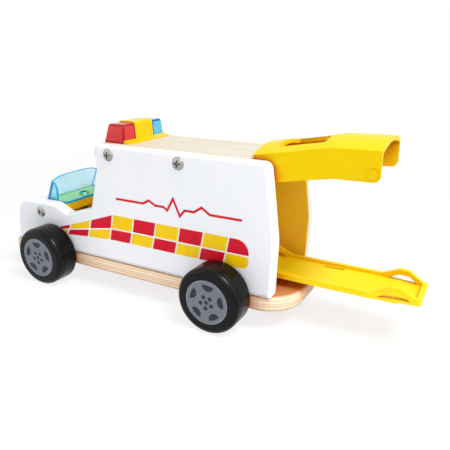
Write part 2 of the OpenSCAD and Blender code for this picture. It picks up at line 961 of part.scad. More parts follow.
module front_left_wheel() {
    wheel(wheelbase);
}

module front_right_wheel() {
    mirror([0, 1, 0])
        wheel(wheelbase);
}

module rear_left_wheel() {
    wheel(0);
}

module rear_right_wheel() {
    mirror([0, 1, 0])
        wheel(0);
}

base_board();
base_screws();
left_panel();
right_panel();
left_panel_screws();
right_panel_screws();
roof_board();
dash_block();
nose_block();
windscreen();
windscreen_screw();
light_base();
light_screws();
red_lens();
blue_lens();
tailgate();
tailgate_pins();
stretcher();
front_axle();
front_left_wheel();
front_right_wheel();
front_washers();
rear_axle();
rear_left_wheel();
rear_right_wheel();
rear_washers();
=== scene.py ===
"""Looks of a wooden toy ambulance with a lift-up tailgate, a sliding stretcher and printed wheels.

Sizes are millimetres. Stations along x are measured from the rear axle, as on a workshop drawing,
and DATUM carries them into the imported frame, which is in metres.
"""
import logging
import math
from dataclasses import dataclass, field
from enum import Enum, IntEnum
from typing import Callable, Optional, Sequence, Union

import bpy
import numpy as np
from mathutils import Matrix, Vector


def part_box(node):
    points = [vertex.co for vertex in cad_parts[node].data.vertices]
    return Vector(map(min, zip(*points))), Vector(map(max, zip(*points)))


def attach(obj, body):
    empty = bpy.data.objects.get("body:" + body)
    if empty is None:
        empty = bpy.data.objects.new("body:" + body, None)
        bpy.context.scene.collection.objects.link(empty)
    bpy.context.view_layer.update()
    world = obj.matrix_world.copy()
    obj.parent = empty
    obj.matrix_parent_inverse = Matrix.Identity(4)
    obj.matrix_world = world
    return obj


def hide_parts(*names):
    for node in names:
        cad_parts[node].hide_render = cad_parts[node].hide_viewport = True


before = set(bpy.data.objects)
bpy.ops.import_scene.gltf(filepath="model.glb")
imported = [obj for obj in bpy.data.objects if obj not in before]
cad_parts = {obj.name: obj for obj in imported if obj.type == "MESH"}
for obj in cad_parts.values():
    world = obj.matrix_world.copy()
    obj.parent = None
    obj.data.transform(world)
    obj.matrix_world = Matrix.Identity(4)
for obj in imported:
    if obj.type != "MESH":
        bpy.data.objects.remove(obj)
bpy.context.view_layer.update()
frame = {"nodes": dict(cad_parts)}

LOG = logging.getLogger("ambulance")
MM = 0.001
DATUM = np.array([sum(corner.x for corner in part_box("rear_axle")) / 2, 0.0, 0.0])

Socket = bpy.types.NodeSocket
Value = Union[float, Sequence[float], Socket]
Rgb = tuple[int, int, int]
Point = tuple[float, float]


class Side(Enum):
    """The two sides of the vehicle, with the sign of y."""

    LEFT = 1
    RIGHT = -1

    @property
    def word(self) -> str:
        """The side's name as it stands in the names of pieces."""
        return self.name.lower()

    def span(self, inner: float, outer: float) -> Point:
        """Stretch across the vehicle on this side.

        Args:
            inner: its smaller distance from the vehicle's middle.
            outer: its larger distance from there.

        Returns:
            Its low and its high y.
        """
        low, high = sorted((self.value * inner, self.value * outer))
        return low, high


class Plane(Enum):
    """Axes of an outline's first and second coordinate and of its thickness."""

    SIDE = (0, 2, 1)
    PLAN = (0, 1, 2)
    FRONT = (1, 2, 0)


class ScreenSlot(IntEnum):
    """Material slots of the windscreen."""

    FACE = 0
    RIM = 1
    FOOT = 2


# Shapes

ARC_STEPS = 8
FINE_ARC_STEPS = 3 * ARC_STEPS
ROUND_STEPS = 4
TURN_STEPS = 96
TINY = 1e-6


@dataclass
class Shape:
    """A mesh in millimetres: vertices, faces and each face's material slot."""

    vertices: np.ndarray
    faces: list[list[int]]
    slots: list[int]


def unit(vectors: np.ndarray) -> np.ndarray:
    """Scales each row to length 1.

    Args:
        vectors: rows of coordinates.

    Returns:
        The rows divided by their lengths.
    """
    return vectors / np.linalg.norm(vectors, axis=-1, keepdims=True)


def rounded(points: Sequence[Point], radii: Sequence[float]) -> np.ndarray:
    """Closed outline whose corners are arcs.

    The arc at a corner is centred on the bisector of its two edges, at radius / sin(half angle) from it,
    and runs between the points where it touches the edges.

    Args:
        points: the corners in order.
        radii: the radius at each corner, zero for a sharp one.

    Returns:
        The outline's points, one row each.
    """
    corner = np.asarray(points, float)
    radius = np.asarray(radii, float)[:, None]
    back = unit(np.roll(corner, 1, 0) - corner)
    ahead = unit(np.roll(corner, -1, 0) - corner)
    opening = np.arccos(np.clip((back * ahead).sum(1), -1, 1))[:, None] / 2
    middle = corner + unit(back + ahead) * radius / np.sin(opening)
    first = corner + back * radius / np.tan(opening) - middle
    last = corner + ahead * radius / np.tan(opening) - middle
    start = np.arctan2(first[:, 1], first[:, 0])
    sweep = np.arctan2(last[:, 1], last[:, 0]) - start
    sweep = (sweep + np.pi) % (2 * np.pi) - np.pi
    angle = start[:, None] + sweep[:, None] * np.linspace(0, 1, ARC_STEPS + 1)
    arcs = middle[:, None] + radius[:, None] * np.stack([np.cos(angle), np.sin(angle)], -1)
    flat = arcs.reshape(-1, 2)
    return flat[np.linalg.norm(flat - np.roll(flat, 1, 0), axis=1) > TINY]


def arc(centre: Point, radius: float, start: float, end: float, steps: int = TURN_STEPS) -> np.ndarray:
    """Points along an arc.

    Args:
        centre: the arc's centre.
        radius: its radius.
        start: first angle in degrees.
        end: last angle in degrees.
        steps: number of points.

    Returns:
        The points, from start to end.
    """
    angle = np.radians(np.linspace(start, end, steps))
    return np.asarray(centre) + radius * np.stack([np.cos(angle), np.sin(angle)], -1)


def circle(centre: Point, radius: float, steps: int = TURN_STEPS) -> np.ndarray:
    """Closed outline of a circle: a full arc without its last point, which is its first.

    Args:
        centre: the circle's centre.
        radius: its radius.
        steps: number of points of the arc.

    Returns:
        The outline's points.
    """
    return arc(centre, radius, 0, 360, steps)[:-1]


def counterclockwise(outline: np.ndarray) -> np.ndarray:
    """Turns an outline so that its area by the shoelace formula is positive.

    Args:
        outline: a closed outline.

    Returns:
        The outline, counterclockwise.
    """
    ahead = np.roll(outline, -1, 0)
    area = (outline[:, 0] * ahead[:, 1] - outline[:, 1] * ahead[:, 0]).sum()
    return outline if area > 0 else outline[::-1]


def mitre(outline: np.ndarray) -> np.ndarray:
    """Step that moves each point of a counterclockwise outline inward by one unit of distance.

    With the inward normals m and n of the two edges at a point, the step is (m + n) / (1 + m.n).

    Args:
        outline: a closed counterclockwise outline.

    Returns:
        One step for each point.
    """
    along = unit(np.roll(outline, -1, 0) - outline)
    after = np.stack([-along[:, 1], along[:, 0]], -1)
    before = np.roll(after, 1, 0)
    return (before + after) / (1 + (before * after).sum(1, keepdims=True))


def inset(outline: np.ndarray, distance: float) -> np.ndarray:
    """Moves an outline inward.

    Args:
        outline: a closed outline.
        distance: how far each edge moves.

    Returns:
        The smaller outline, counterclockwise.
    """
    turned = counterclockwise(outline)
    return turned + distance * mitre(turned)


def ribbon(path: Sequence[Point], width: float) -> np.ndarray:
    """Outline of a line of even width, with mitred corners: the path moved to both sides by half the width.

    Args:
        path: the line's points.
        width: its width.

    Returns:
        The outline's points.
    """
    points = np.asarray(path, float)
    along = unit(np.diff(points, axis=0))
    normal = np.stack([-along[:, 1], along[:, 0]], -1)
    before = np.vstack([normal[:1], normal])
    after = np.vstack([normal, normal[-1:]])
    step = width / 2 * (before + after) / (1 + (before * after).sum(1, keepdims=True))
    return np.vstack([points + step, (points - step)[::-1]])


def skin(grid: np.ndarray) -> list[list[int]]:
    """Quads between the rings of a grid of vertex numbers, each ring closed on itself.

    Args:
        grid: vertex numbers, one ring to a row.

    Returns:
        The quads.
    """
    ahead = np.roll(grid, -1, 1)
    return np.stack([grid[:-1], ahead[:-1], ahead[1:], grid[1:]], -1).reshape(-1, 4).tolist()


def capped(rings: np.ndarray, slots: tuple[int, int] = (0, 0)) -> Shape:
    """A closed body through rings of points that run counterclockwise as seen from the last ring.

    Args:
        rings: the rings, each with the same number of points.
        slots: material slot of the two end faces and of everything between them.

    Returns:
        The body.
    """
    grid = np.arange(rings.shape[0] * rings.shape[1]).reshape(rings.shape[:2])
    sides = skin(grid)
    faces = sides + [grid[0][::-1].tolist(), grid[-1].tolist()]
    return Shape(rings.reshape(-1, 3), faces, [slots[1]] * len(sides) + [slots[0]] * 2)


def slab(outline: np.ndarray, span: Point, plane: Plane, rounds: Point = (0.0, 0.0),
         slots: tuple[int, int] = (0, 0)) -> Shape:
    """A plate of an outline, with quarter-round edges at its low and its high face.

    A ring at the angle t of a rounding of radius r lies r(1 - sin t) inside the outline and
    r(1 - cos t) from the face.

    Args:
        outline: the plate's outline.
        span: the low and the high face.
        plane: how the outline lies.
        rounds: the rounding at the low and at the high face.
        slots: material slot of the two faces and of the rim.

    Returns:
        The closed plate.
    """
    turned = counterclockwise(outline)
    angle = np.linspace(0, np.pi / 2, ROUND_STEPS + 1)
    turns = [angle if radius > 0 else angle[-1:] for radius in rounds]
    low, high = [(radius * (1 - np.sin(turn)), radius * (1 - np.cos(turn)))
                 for radius, turn in zip(rounds, turns)]
    moves = np.concatenate([low[0], high[0][::-1]])
    levels = np.concatenate([span[0] + low[1], span[1] - high[1][::-1]])
    rings = turned + moves[:, None, None] * mitre(turned)
    vertices = np.empty(rings.shape[:2] + (3,))
    vertices[..., list(plane.value[:2])] = rings
    vertices[..., plane.value[2]] = levels[:, None]
    shape = capped(vertices, slots)
    if plane is Plane.SIDE:
        shape.faces = [face[::-1] for face in shape.faces]
    return shape


def lathe(profile: Sequence[Point], centre: Point, side: Side) -> Shape:
    """A body turned about an axle: a point (r, h) of the profile runs round at radius r and distance h.

    Args:
        profile: radius and distance from the vehicle's middle, from the inner to the outer pole.
        centre: x and z of the axle.
        side: the side of the vehicle that it is on.

    Returns:
        The closed body, its first and last points on the axle.
    """
    points = np.asarray(profile, float)
    angle = np.linspace(0, 2 * np.pi, TURN_STEPS, endpoint=False)
    radius, height = points[1:-1, :1], points[1:-1, 1:]
    rings = np.stack([centre[0] + radius * np.cos(angle), side.value * height + 0 * angle,
                      centre[1] + radius * np.sin(angle)], -1)
    poles = [[centre[0], side.value * points[i, 1], centre[1]] for i in (0, -1)]
    grid = np.arange(rings.shape[0] * TURN_STEPS).reshape(-1, TURN_STEPS)
    inner, outer = grid.size, grid.size + 1
    faces = skin(grid)
    faces += np.stack([np.roll(grid[0], -1), grid[0], np.full(TURN_STEPS, inner)], -1).tolist()
    faces += np.stack([grid[-1], np.roll(grid[-1], -1), np.full(TURN_STEPS, outer)], -1).tolist()
    if side is Side.LEFT:
        faces = [face[::-1] for face in faces]
    return Shape(np.vstack([rings.reshape(-1, 3), poles]), faces, [0] * len(faces))


def joined(shapes: Sequence[Shape]) -> Shape:
    """Puts several shapes into one mesh.

    Args:
        shapes: the shapes.

    Returns:
        One shape with all vertices and faces.
    """
    starts = np.cumsum([0] + [len(shape.vertices) for shape in shapes])
    faces = [[start + i for i in face] for start, shape in zip(starts, shapes) for face in shape.faces]
    vertices = np.vstack([shape.vertices for shape in shapes])
    return Shape(vertices, faces, sum((shape.slots for shape in shapes), []))


# Node trees


class Graph:
    """Writes the nodes of one tree."""

    def __init__(self, tree: bpy.types.NodeTree) -> None:
        """Starts on a tree."""
        self.tree = tree

    def add(self, kind: str, values: Optional[dict] = None, **settings: object) -> bpy.types.Node:
        """Adds a node.

        Args:
            kind: the node's type.
            values: numbers, colours or linked sockets for its inputs, by name or place.
            settings: the node's own settings.

        Returns:
            The node.
        """
        made = self.tree.nodes.new(kind)
        for name, setting in settings.items():
            setattr(made, name, setting)
        for name, value in (values or {}).items():
            if isinstance(value, bpy.types.NodeSocket):
                self.tree.links.new(value, made.inputs[name])
            else:
                made.inputs[name].default_value = value
        return made

    def math(self, operation: str, first: Value, second: Value = 0.0, clamp: bool = False) -> Socket:
        """Adds a sum of two numbers.

        Args:
            operation: the kind of sum.
            first: the first number.
            second: the second number.
            clamp: whether the result stays between 0 and 1.

        Returns:
            The result.
        """
        values = {0: first, 1: second}
        return self.add("ShaderNodeMath", values, operation=operation, use_clamp=clamp).outputs[0]

    def vector(self, operation: str, first: Value, second: Value) -> Socket:
        """Adds a sum of two vectors.

        Args:
            operation: the kind of sum.
            first: the first vector.
            second: the second vector.

        Returns:
            The resulting vector.
        """
        values = {0: first, 1: second}
        return self.add("ShaderNodeVectorMath", values, operation=operation).outputs[0]

    def axes(self, vector: Socket) -> dict[str, Socket]:
        """Splits a vector.

        Args:
            vector: the vector.

        Returns:
            Its numbers, named X, Y and Z.
        """
        split = self.add("ShaderNodeSeparateXYZ", {0: vector}).outputs
        return {axis: split[axis] for axis in "XYZ"}

    def mix(self, share: Value, first: Value, second: Value) -> Socket:
        """Adds a mix of two colours.

        Args:
            share: share of the second colour.
            first: the first colour.
            second: the second colour.

        Returns:
            The mixed colour.
        """
        return self.add("ShaderNodeMix", {0: share, 6: first, 7: second}, data_type="RGBA").outputs[2]

    def spread(self, value: Value, low: Value, high: Value, to_low: Value = 0.0,
               to_high: Value = 1.0) -> Socket:
        """Adds a clamped change of range.

        Args:
            value: the number.
            low: what becomes to_low.
            high: what becomes to_high.
            to_low: the new range's start.
            to_high: the new range's end.

        Returns:
            The number in its new range.
        """
        values = {0: value, 1: low, 2: high, 3: to_low, 4: to_high}
        return self.add("ShaderNodeMapRange", values).outputs[0]

    def noise(self, vector: Socket, scale: Value, detail: float) -> Socket:
        """Adds a noise.

        Args:
            vector: where it is read.
            scale: patches per metre.
            detail: octaves.

        Returns:
            The noise's value.
        """
        values = {"Vector": vector, "Scale": scale, "Detail": detail}
        return self.add("ShaderNodeTexNoise", values).outputs["Fac"]


def emptied(owner: Union[bpy.types.Material, bpy.types.World]) -> Graph:
    """Gives a material or a world an empty tree.

    Args:
        owner: the material or the world.

    Returns:
        Its nodes.
    """
    owner.use_nodes = True
    owner.node_tree.nodes.clear()
    return Graph(owner.node_tree)


def colour(rgb: Rgb) -> tuple[float, float, float, float]:
    """Turns a screen colour into the linear one that shaders take, by the sRGB curve.

    Args:
        rgb: red, green and blue from 0 to 255.

    Returns:
        Linear red, green, blue and an alpha of 1.
    """
    share = np.asarray(rgb) / 255
    linear = np.where(share <= 0.04045, share / 12.92, ((share + 0.055) / 1.055) ** 2.4)
    return (*linear.tolist(), 1.0)


class Effect:
    """A shader node group that several finishes share."""

    FLOAT = "NodeSocketFloat"
    COLOUR = "NodeSocketColor"
    VECTOR = "NodeSocketVector"
    LOOK = {"Color": COLOUR, "Roughness": FLOAT, "Height": FLOAT}

    def __init__(self, name: str, inputs: dict[str, str], outputs: dict[str, str],
                 fill: Callable[[Graph, dict[str, Socket]], dict[str, Socket]]) -> None:
        """Builds the group once.

        Args:
            name: the group's name.
            inputs: its inputs and their socket types.
            outputs: its outputs and their socket types.
            fill: writes the nodes between them.
        """
        self.tree = bpy.data.node_groups.new(name, "ShaderNodeTree")
        for direction, sockets in (("INPUT", inputs), ("OUTPUT", outputs)):
            for socket, kind in sockets.items():
                self.tree.interface.new_socket(socket, in_out=direction, socket_type=kind)
        graph = Graph(self.tree)
        entry = graph.add("NodeGroupInput")
        graph.add("NodeGroupOutput", fill(graph, {socket: entry.outputs[socket] for socket in inputs}))

    def place(self, graph: Graph, values: dict[str, Value]) -> bpy.types.Node:
        """Puts the group into a material.

        Args:
            graph: the material's nodes.
            values: its inputs.

        Returns:
            The group's node.
        """
        return graph.add("ShaderNodeGroup", values, node_tree=self.tree)


NOISE_RANGE = (0.3, 0.7)
PATCH_RANGE = (0.35, 0.75)
PATCH_DETAIL = 3.0
PEEL_FINENESS = 14.0
PEEL_DETAIL = 2.0
ROUGHNESS_DRIFT = (-0.02, 0.03)
GRAIN_STRETCH = (0.07, 1.0, 1.0)
GRAIN_RANGE = (0.38, 0.66)
BAND_DETAIL = 4.0
BAND_SHARE = 0.65
FIBRE_FINENESS = 9.0
FIBRE_DETAIL = 3.0
WOOD_ROUGHNESS = (0.42, 0.6)
PLY_WANDER = 0.3
WANDER_SCALE = 60.0
WANDER_DETAIL = 1.0
CROSS_RANGE = (0.42, 0.58)
GLUE_RANGE = (0.05, 0.16)
SHADE_SAMPLES = 16
SHADE_FROM = 0.85
FACING_RANGE = (0.85, 0.93)
OUT_OF_REACH = 100.0
FRAME_EDGE = (0.7, 1.3)


def fill_mottle(graph: Graph, given: dict[str, Socket]) -> dict[str, Socket]:
    """Soft patches of a second colour, with a fine orange-peel height.

    Args:
        graph: the group's nodes.
        given: Vector, Base, Tint, Scale and Roughness.

    Returns:
        Color, Roughness and Height.
    """
    patches = graph.noise(given["Vector"], given["Scale"], PATCH_DETAIL)
    fine = graph.math("MULTIPLY", given["Scale"], PEEL_FINENESS)
    tone = graph.mix(graph.spread(patches, *PATCH_RANGE), given["Base"], given["Tint"])
    drift = graph.spread(patches, *NOISE_RANGE, *ROUGHNESS_DRIFT)
    return {"Color": tone, "Roughness": graph.math("ADD", given["Roughness"], drift),
            "Height": graph.noise(given["Vector"], fine, PEEL_DETAIL)}


def fill_grain(graph: Graph, given: dict[str, Socket]) -> dict[str, Socket]:
    """Wood along x: broad bands and fine fibres, both stretched along the grain.

    Args:
        graph: the group's nodes.
        given: Vector, Light, Dark, Scale and Contrast.

    Returns:
        Color, Roughness and Height.
    """
    along = graph.vector("MULTIPLY", given["Vector"], GRAIN_STRETCH)
    bands = graph.noise(along, given["Scale"], BAND_DETAIL)
    fibres = graph.noise(along, graph.math("MULTIPLY", given["Scale"], FIBRE_FINENESS), FIBRE_DETAIL)
    broad = graph.math("MULTIPLY", bands, BAND_SHARE)
    both = graph.math("ADD", broad, graph.math("MULTIPLY", fibres, 1 - BAND_SHARE))
    share = graph.math("MULTIPLY", graph.spread(both, *GRAIN_RANGE), given["Contrast"], clamp=True)
    return {"Color": graph.mix(share, given["Light"], given["Dark"]),
            "Roughness": graph.spread(fibres, *NOISE_RANGE, *WOOD_ROUGHNESS), "Height": fibres}


def fill_plies(graph: Graph, given: dict[str, Socket]) -> dict[str, Socket]:
    """Veneers of a plywood edge: every second layer is end grain, with a thin glue line between layers.

    Args:
        graph: the group's nodes.
        given: Vector and Layer, the thickness of a veneer.

    Returns:
        Cross, the mask of the end-grain layers, and Glue, the mask of the lines between layers.
    """
    height = graph.axes(given["Vector"])["Z"]
    uneven = graph.noise(given["Vector"], WANDER_SCALE, WANDER_DETAIL)
    wavy = graph.math("ADD", height, graph.math("MULTIPLY", uneven, PLY_WANDER * MM))
    place = graph.math("PINGPONG", graph.math("DIVIDE", wavy, given["Layer"]), 1.0)
    line = graph.math("ABSOLUTE", graph.math("SUBTRACT", place, 0.5))
    return {"Cross": graph.spread(place, *CROSS_RANGE), "Glue": graph.spread(line, *GLUE_RANGE, 1.0, 0.0)}


def fill_painted_hollow_shade(graph: Graph, given: dict[str, Socket]) -> dict[str, Socket]:
    """Painted shade for recesses and corners where little light comes in: the share of nearby directions
    that are blocked.

    Args:
        graph: the group's nodes.
        given: Reach, how far a blocking surface counts, and Deepest, the open share of a deep corner.

    Returns:
        Mask, from 0 in the open to 1 in a deep corner.
    """
    reach = {"Distance": given["Reach"]}
    open_share = graph.add("ShaderNodeAmbientOcclusion", reach, samples=SHADE_SAMPLES).outputs["AO"]
    return {"Mask": graph.spread(open_share, SHADE_FROM, given["Deepest"])}


def fill_edge_on_shade(graph: Graph, given: dict[str, Socket]) -> dict[str, Socket]:
    """Painted frame round each face of a box, standing in for walls seen edge-on: near the box's limits
    along both axes that the face lies along.

    Args:
        graph: the group's nodes.
        given: Vector, Low and High corner of the box, and Width of the frame.

    Returns:
        Mask, 1 in the frame and 0 within it.
    """
    above = graph.vector("SUBTRACT", given["Vector"], given["Low"])
    below = graph.vector("SUBTRACT", given["High"], given["Vector"])
    distance = graph.axes(graph.vector("MINIMUM", above, below))
    facing = graph.axes(graph.add("ShaderNodeNewGeometry").outputs["Normal"])
    limits = []
    for axis in "XYZ":
        straight = graph.math("ABSOLUTE", facing[axis])
        aside = graph.spread(straight, *FACING_RANGE, 0.0, OUT_OF_REACH)
        limits.append(graph.math("ADD", distance[axis], aside))
    least = graph.math("MINIMUM", graph.math("MINIMUM", limits[0], limits[1]), limits[2])
    return {"Mask": graph.spread(graph.math("DIVIDE", least, given["Width"]), *FRAME_EDGE, 1.0, 0.0)}


MOTTLE = Effect(
    "soft_mottle",
    {"Vector": Effect.VECTOR, "Base": Effect.COLOUR, "Tint": Effect.COLOUR, "Scale": Effect.FLOAT,
     "Roughness": Effect.FLOAT},
    Effect.LOOK, fill_mottle)
GRAIN = Effect(
    "wood_grain",
    {"Vector": Effect.VECTOR, "Light": Effect.COLOUR, "Dark": Effect.COLOUR, "Scale": Effect.FLOAT,
     "Contrast": Effect.FLOAT},
    Effect.LOOK, fill_grain)
PLIES = Effect(
    "ply_layers", {"Vector": Effect.VECTOR, "Layer": Effect.FLOAT},
    {"Cross": Effect.FLOAT, "Glue": Effect.FLOAT}, fill_plies)
PAINTED_HOLLOW_SHADE = Effect(
    "painted_hollow_shade", {"Reach": Effect.FLOAT, "Deepest": Effect.FLOAT}, {"Mask": Effect.FLOAT}, fill_painted_hollow_shade)
EDGE_ON_SHADE = Effect(
    "painted_edge_on_shade",
    {"Vector": Effect.VECTOR, "Low": Effect.VECTOR, "High": Effect.VECTOR, "Width": Effect.FLOAT},
    {"Mask": Effect.FLOAT}, fill_edge_on_shade)


# Finishes

COAT_ROUGHNESS = 0.1
LENS_PLACE = "lens_place"
LENS_LOW = (75.0, 9.1, 99.0)
LENS_HIGH = (91.6, 21.5, 110.8)


@dataclass(frozen=True)
class Finish:
    """A finish with soft mottling: paint, moulded plastic or print."""

    name: str
    base: Rgb
    tint: Rgb
    roughness: float = 0.35
    patches: float = 90.0
    bump: float = 0.004
    gloss: float = 0.5
    coat: float = 0.0
    # painted shade: a darker colour mixed in where nearby surfaces block the light
    painted_shade: Optional[Rgb] = None
    reach: float = 25.0
    deepest: float = 0.2

    def material(self) -> bpy.types.Material:
        """Gives the finish's material, made on first use.

        Returns:
            The material.
        """
        title = f"{self.name}_finish"
        known = bpy.data.materials.get(title)
        if known:
            return known
        made = bpy.data.materials.new(title)
        graph = emptied(made)
        where = graph.add("ShaderNodeTexCoord").outputs["Object"]
        graph.add("ShaderNodeOutputMaterial", {"Surface": self.surface(graph, where)})
        return made

    def mottled(self, graph: Graph, where: Socket, base: Value, tint: Value) -> bpy.types.Node:
        """Adds soft patches of two colours.

        Args:
            graph: the material's nodes.
            where: Object coordinates.
            base: the main colour.
            tint: the colour of the patches.

        Returns:
            The node with Color, Roughness and Height.
        """
        return MOTTLE.place(graph, {"Vector": where, "Base": base, "Tint": tint, "Scale": self.patches,
                                    "Roughness": self.roughness})

    def shader(self, graph: Graph, tone: Value, look: bpy.types.Node, **more: Value) -> Socket:
        """Adds the Principled shader with a bump, its colour darkened toward a painted shade colour in
        recesses and corners.

        Args:
            graph: the material's nodes.
            tone: base colour.
            look: the node that gives Roughness and Height.
            more: further inputs, with _ for spaces.

        Returns:
            The shader's output.
        """
        # painted shade: darken the colour where little light comes in
        if self.painted_shade:
            deep = PAINTED_HOLLOW_SHADE.place(graph, {"Reach": self.reach * MM, "Deepest": self.deepest})
            tone = graph.mix(deep.outputs["Mask"], tone, colour(self.painted_shade))
        relief = {"Height": look.outputs["Height"], "Strength": self.bump, "Distance": MM}
        raised = graph.add("ShaderNodeBump", relief).outputs[0]
        values = {"Base Color": tone, "Roughness": look.outputs["Roughness"], "Normal": raised,
                  "Specular IOR Level": self.gloss, "Coat Weight": self.coat,
                  "Coat Roughness": COAT_ROUGHNESS}
        values.update({name.replace("_", " "): value for name, value in more.items()})
        return graph.add("ShaderNodeBsdfPrincipled", values).outputs[0]

    def surface(self, graph: Graph, where: Socket) -> Socket:
        """Adds the finish's own nodes.

        Args:
            graph: the material's nodes.
            where: Object coordinates.

        Returns:
            The shader's output.
        """
        look = self.mottled(graph, where, colour(self.base), colour(self.tint))
        return self.shader(graph, look.outputs["Color"], look)


@dataclass(frozen=True)
class PanelPaint(Finish):
    """White paint outside and yellow paint on the inner face, changing at a distance from the middle."""

    inner: Rgb = (255, 208, 56)
    inner_tint: Rgb = (250, 200, 40)
    change_at: float = 24.1
    change_over: float = 0.1

    def surface(self, graph: Graph, where: Socket) -> Socket:
        """Adds both paints and the line between them.

        Args:
            graph: the material's nodes.
            where: Object coordinates.

        Returns:
            The shader's output.
        """
        outside = self.mottled(graph, where, colour(self.base), colour(self.tint))
        inside = self.mottled(graph, where, colour(self.inner), colour(self.inner_tint))
        across = graph.math("ABSOLUTE", graph.axes(where)["Y"])
        limits = [(self.change_at + step) * MM for step in (-self.change_over, self.change_over)]
        tone = graph.mix(graph.spread(across, *limits), inside.outputs["Color"], outside.outputs["Color"])
        return self.shader(graph, tone, outside)


@dataclass(frozen=True)
class Wood(Finish):
    """Clear-varnished wood with its grain along x."""

    contrast: float = 0.8

    def grained(self, graph: Graph, where: Socket) -> bpy.types.Node:
        """Adds the grain.

        Args:
            graph: the material's nodes.
            where: Object coordinates.

        Returns:
            The node with Color, Roughness and Height.
        """
        return GRAIN.place(graph, {"Vector": where, "Light": colour(self.base), "Dark": colour(self.tint),
                                   "Scale": self.patches, "Contrast": self.contrast})

    def surface(self, graph: Graph, where: Socket) -> Socket:
        """Adds the grain under a varnish.

        Args:
            graph: the material's nodes.
            where: Object coordinates.

        Returns:
            The shader's output.
        """
        look = self.grained(graph, where)
        return self.shader(graph, look.outputs["Color"], look)


@dataclass(frozen=True)
class Plywood(Wood):
    """Varnished plywood: a grained face, and veneers with glue lines along its edges; its flat faces carry a
    painted shade warmed by reflected yellow light.
    """

    cross: Rgb = (232, 202, 162)
    glue: Rgb = (176, 122, 78)
    # painted shade: colour of the flat faces, standing in for shade and yellow light reflected from the
    # tailgate
    top: Rgb = (198, 124, 62)
    layer: float = 1.9
    cross_share: float = 0.6
    glue_share: float = 0.42
    top_shade_share: float = 0.85
    edge_range: Point = (0.97, 0.8)
    top_shade_range: Point = (0.9, 0.99)

    def surface(self, graph: Graph, where: Socket) -> Socket:
        """Adds the grain, on upright faces the veneers, and on flat faces a painted shade.

        Args:
            graph: the material's nodes.
            where: Object coordinates.

        Returns:
            The shader's output.
        """
        look = self.grained(graph, where)
        plies = PLIES.place(graph, {"Vector": where, "Layer": self.layer * MM})
        facing = graph.axes(graph.add("ShaderNodeNewGeometry").outputs["Normal"])
        upward = graph.math("ABSOLUTE", facing["Z"])
        edge = graph.spread(upward, *self.edge_range)
        cross = graph.math("MULTIPLY", plies.outputs["Cross"], edge)
        glue = graph.math("MULTIPLY", plies.outputs["Glue"], edge)
        tone = look.outputs["Color"]
        # the first mask paints the shade of the flat faces; the others are the veneers and glue lines
        for mask, share, rgb in ((graph.spread(upward, *self.top_shade_range), self.top_shade_share, self.top),
                                 (cross, self.cross_share, self.cross), (glue, self.glue_share, self.glue)):
            tone = graph.mix(graph.math("MULTIPLY", mask, share), tone, colour(rgb))
        return self.shader(graph, tone, look)


@dataclass(frozen=True)
class Clear(Finish):
    """Coloured clear plastic, which lets light rays through to what lies behind it."""

    transmission: float = 1.0
    refraction: float = 1.46
    shade: float = 0.75

    def toned(self, graph: Graph, look: bpy.types.Node) -> Value:
        """Gives the plastic's colour.

        Args:
            graph: the material's nodes.
            look: the mottling.

        Returns:
            The colour.
        """
        return look.outputs["Color"]

    def surface(self, graph: Graph, where: Socket) -> Socket:
        """Adds the clear shader, replaced by a plain tint for shadows.

        Args:
            graph: the material's nodes.
            where: Object coordinates.

        Returns:
            The shader's output.
        """
        look = self.mottled(graph, where, colour(self.base), colour(self.tint))
        clear = self.shader(graph, self.toned(graph, look), look, Transmission_Weight=self.transmission,
                            IOR=self.refraction)
        through = graph.add("ShaderNodeBsdfTransparent", {"Color": colour(self.base)}).outputs[0]
        shadow = graph.add("ShaderNodeLightPath").outputs["Is Shadow Ray"]
        share = graph.math("MULTIPLY", shadow, self.shade)
        return graph.add("ShaderNodeMixShader", {0: share, 1: clear, 2: through}).outputs[0]


@dataclass(frozen=True)
class Lens(Clear):
    """Clear plastic of a lens moulded as a thin shell: pale panes in a deeper painted frame, placed by the
    mesh's own coordinates. The frame stands in for the darker look of the shell's walls seen edge-on.
    """

    # painted: the frame colour stands in for the shell's walls seen edge-on, not for a moulded frame
    frame: Rgb = (180, 20, 30)
    width: float = 1.3

    def toned(self, graph: Graph, look: bpy.types.Node) -> Value:
        """Gives the pane's colour and, round each face, the painted frame's deeper colour.

        Args:
            graph: the material's nodes.
            look: the mottling.

        Returns:
            The colour.
        """
        place = graph.add("ShaderNodeAttribute", attribute_name=LENS_PLACE).outputs["Vector"]
        values = {"Vector": place, "Low": LENS_LOW, "High": LENS_HIGH, "Width": self.width}
        mask = EDGE_ON_SHADE.place(graph, values).outputs["Mask"]
        return graph.mix(mask, look.outputs["Color"], colour(self.frame))


@dataclass(frozen=True)
class Metal(Finish):
    """Bright plated steel with fine turning marks."""

    def surface(self, graph: Graph, where: Socket) -> Socket:
        """Adds the metal.

        Args:
            graph: the material's nodes.
            where: Object coordinates.

        Returns:
            The shader's output.
        """
        look = self.mottled(graph, where, colour(self.base), colour(self.tint))
        return self.shader(graph, look.outputs["Color"], look, Metallic=1.0)


PANEL_PAINT = PanelPaint("panel_paint", (238, 240, 244), (234, 237, 242), 0.32, 40.0, gloss=0.3)
WHITE_PAINT = Finish("white_paint", (238, 240, 244), (234, 237, 242), 0.32, 40.0, gloss=0.3)
YELLOW_PAINT = Finish("yellow_paint", (255, 206, 14), (248, 194, 8), 0.36, 60.0, gloss=0.15)
ROOF_WOOD = Wood("roof_wood", (217, 209, 194), (205, 192, 173), 0.5, 150.0, 0.03, 0.06, contrast=0.7)
# painted shade: the base board turns brown where the body and the stretcher shade it
BASE_PLY = Plywood("base_ply", (246, 232, 209), (236, 213, 182), 0.45, 150.0, 0.04, 0.3, 0.2,
                   painted_shade=(186, 104, 40), reach=30.0)
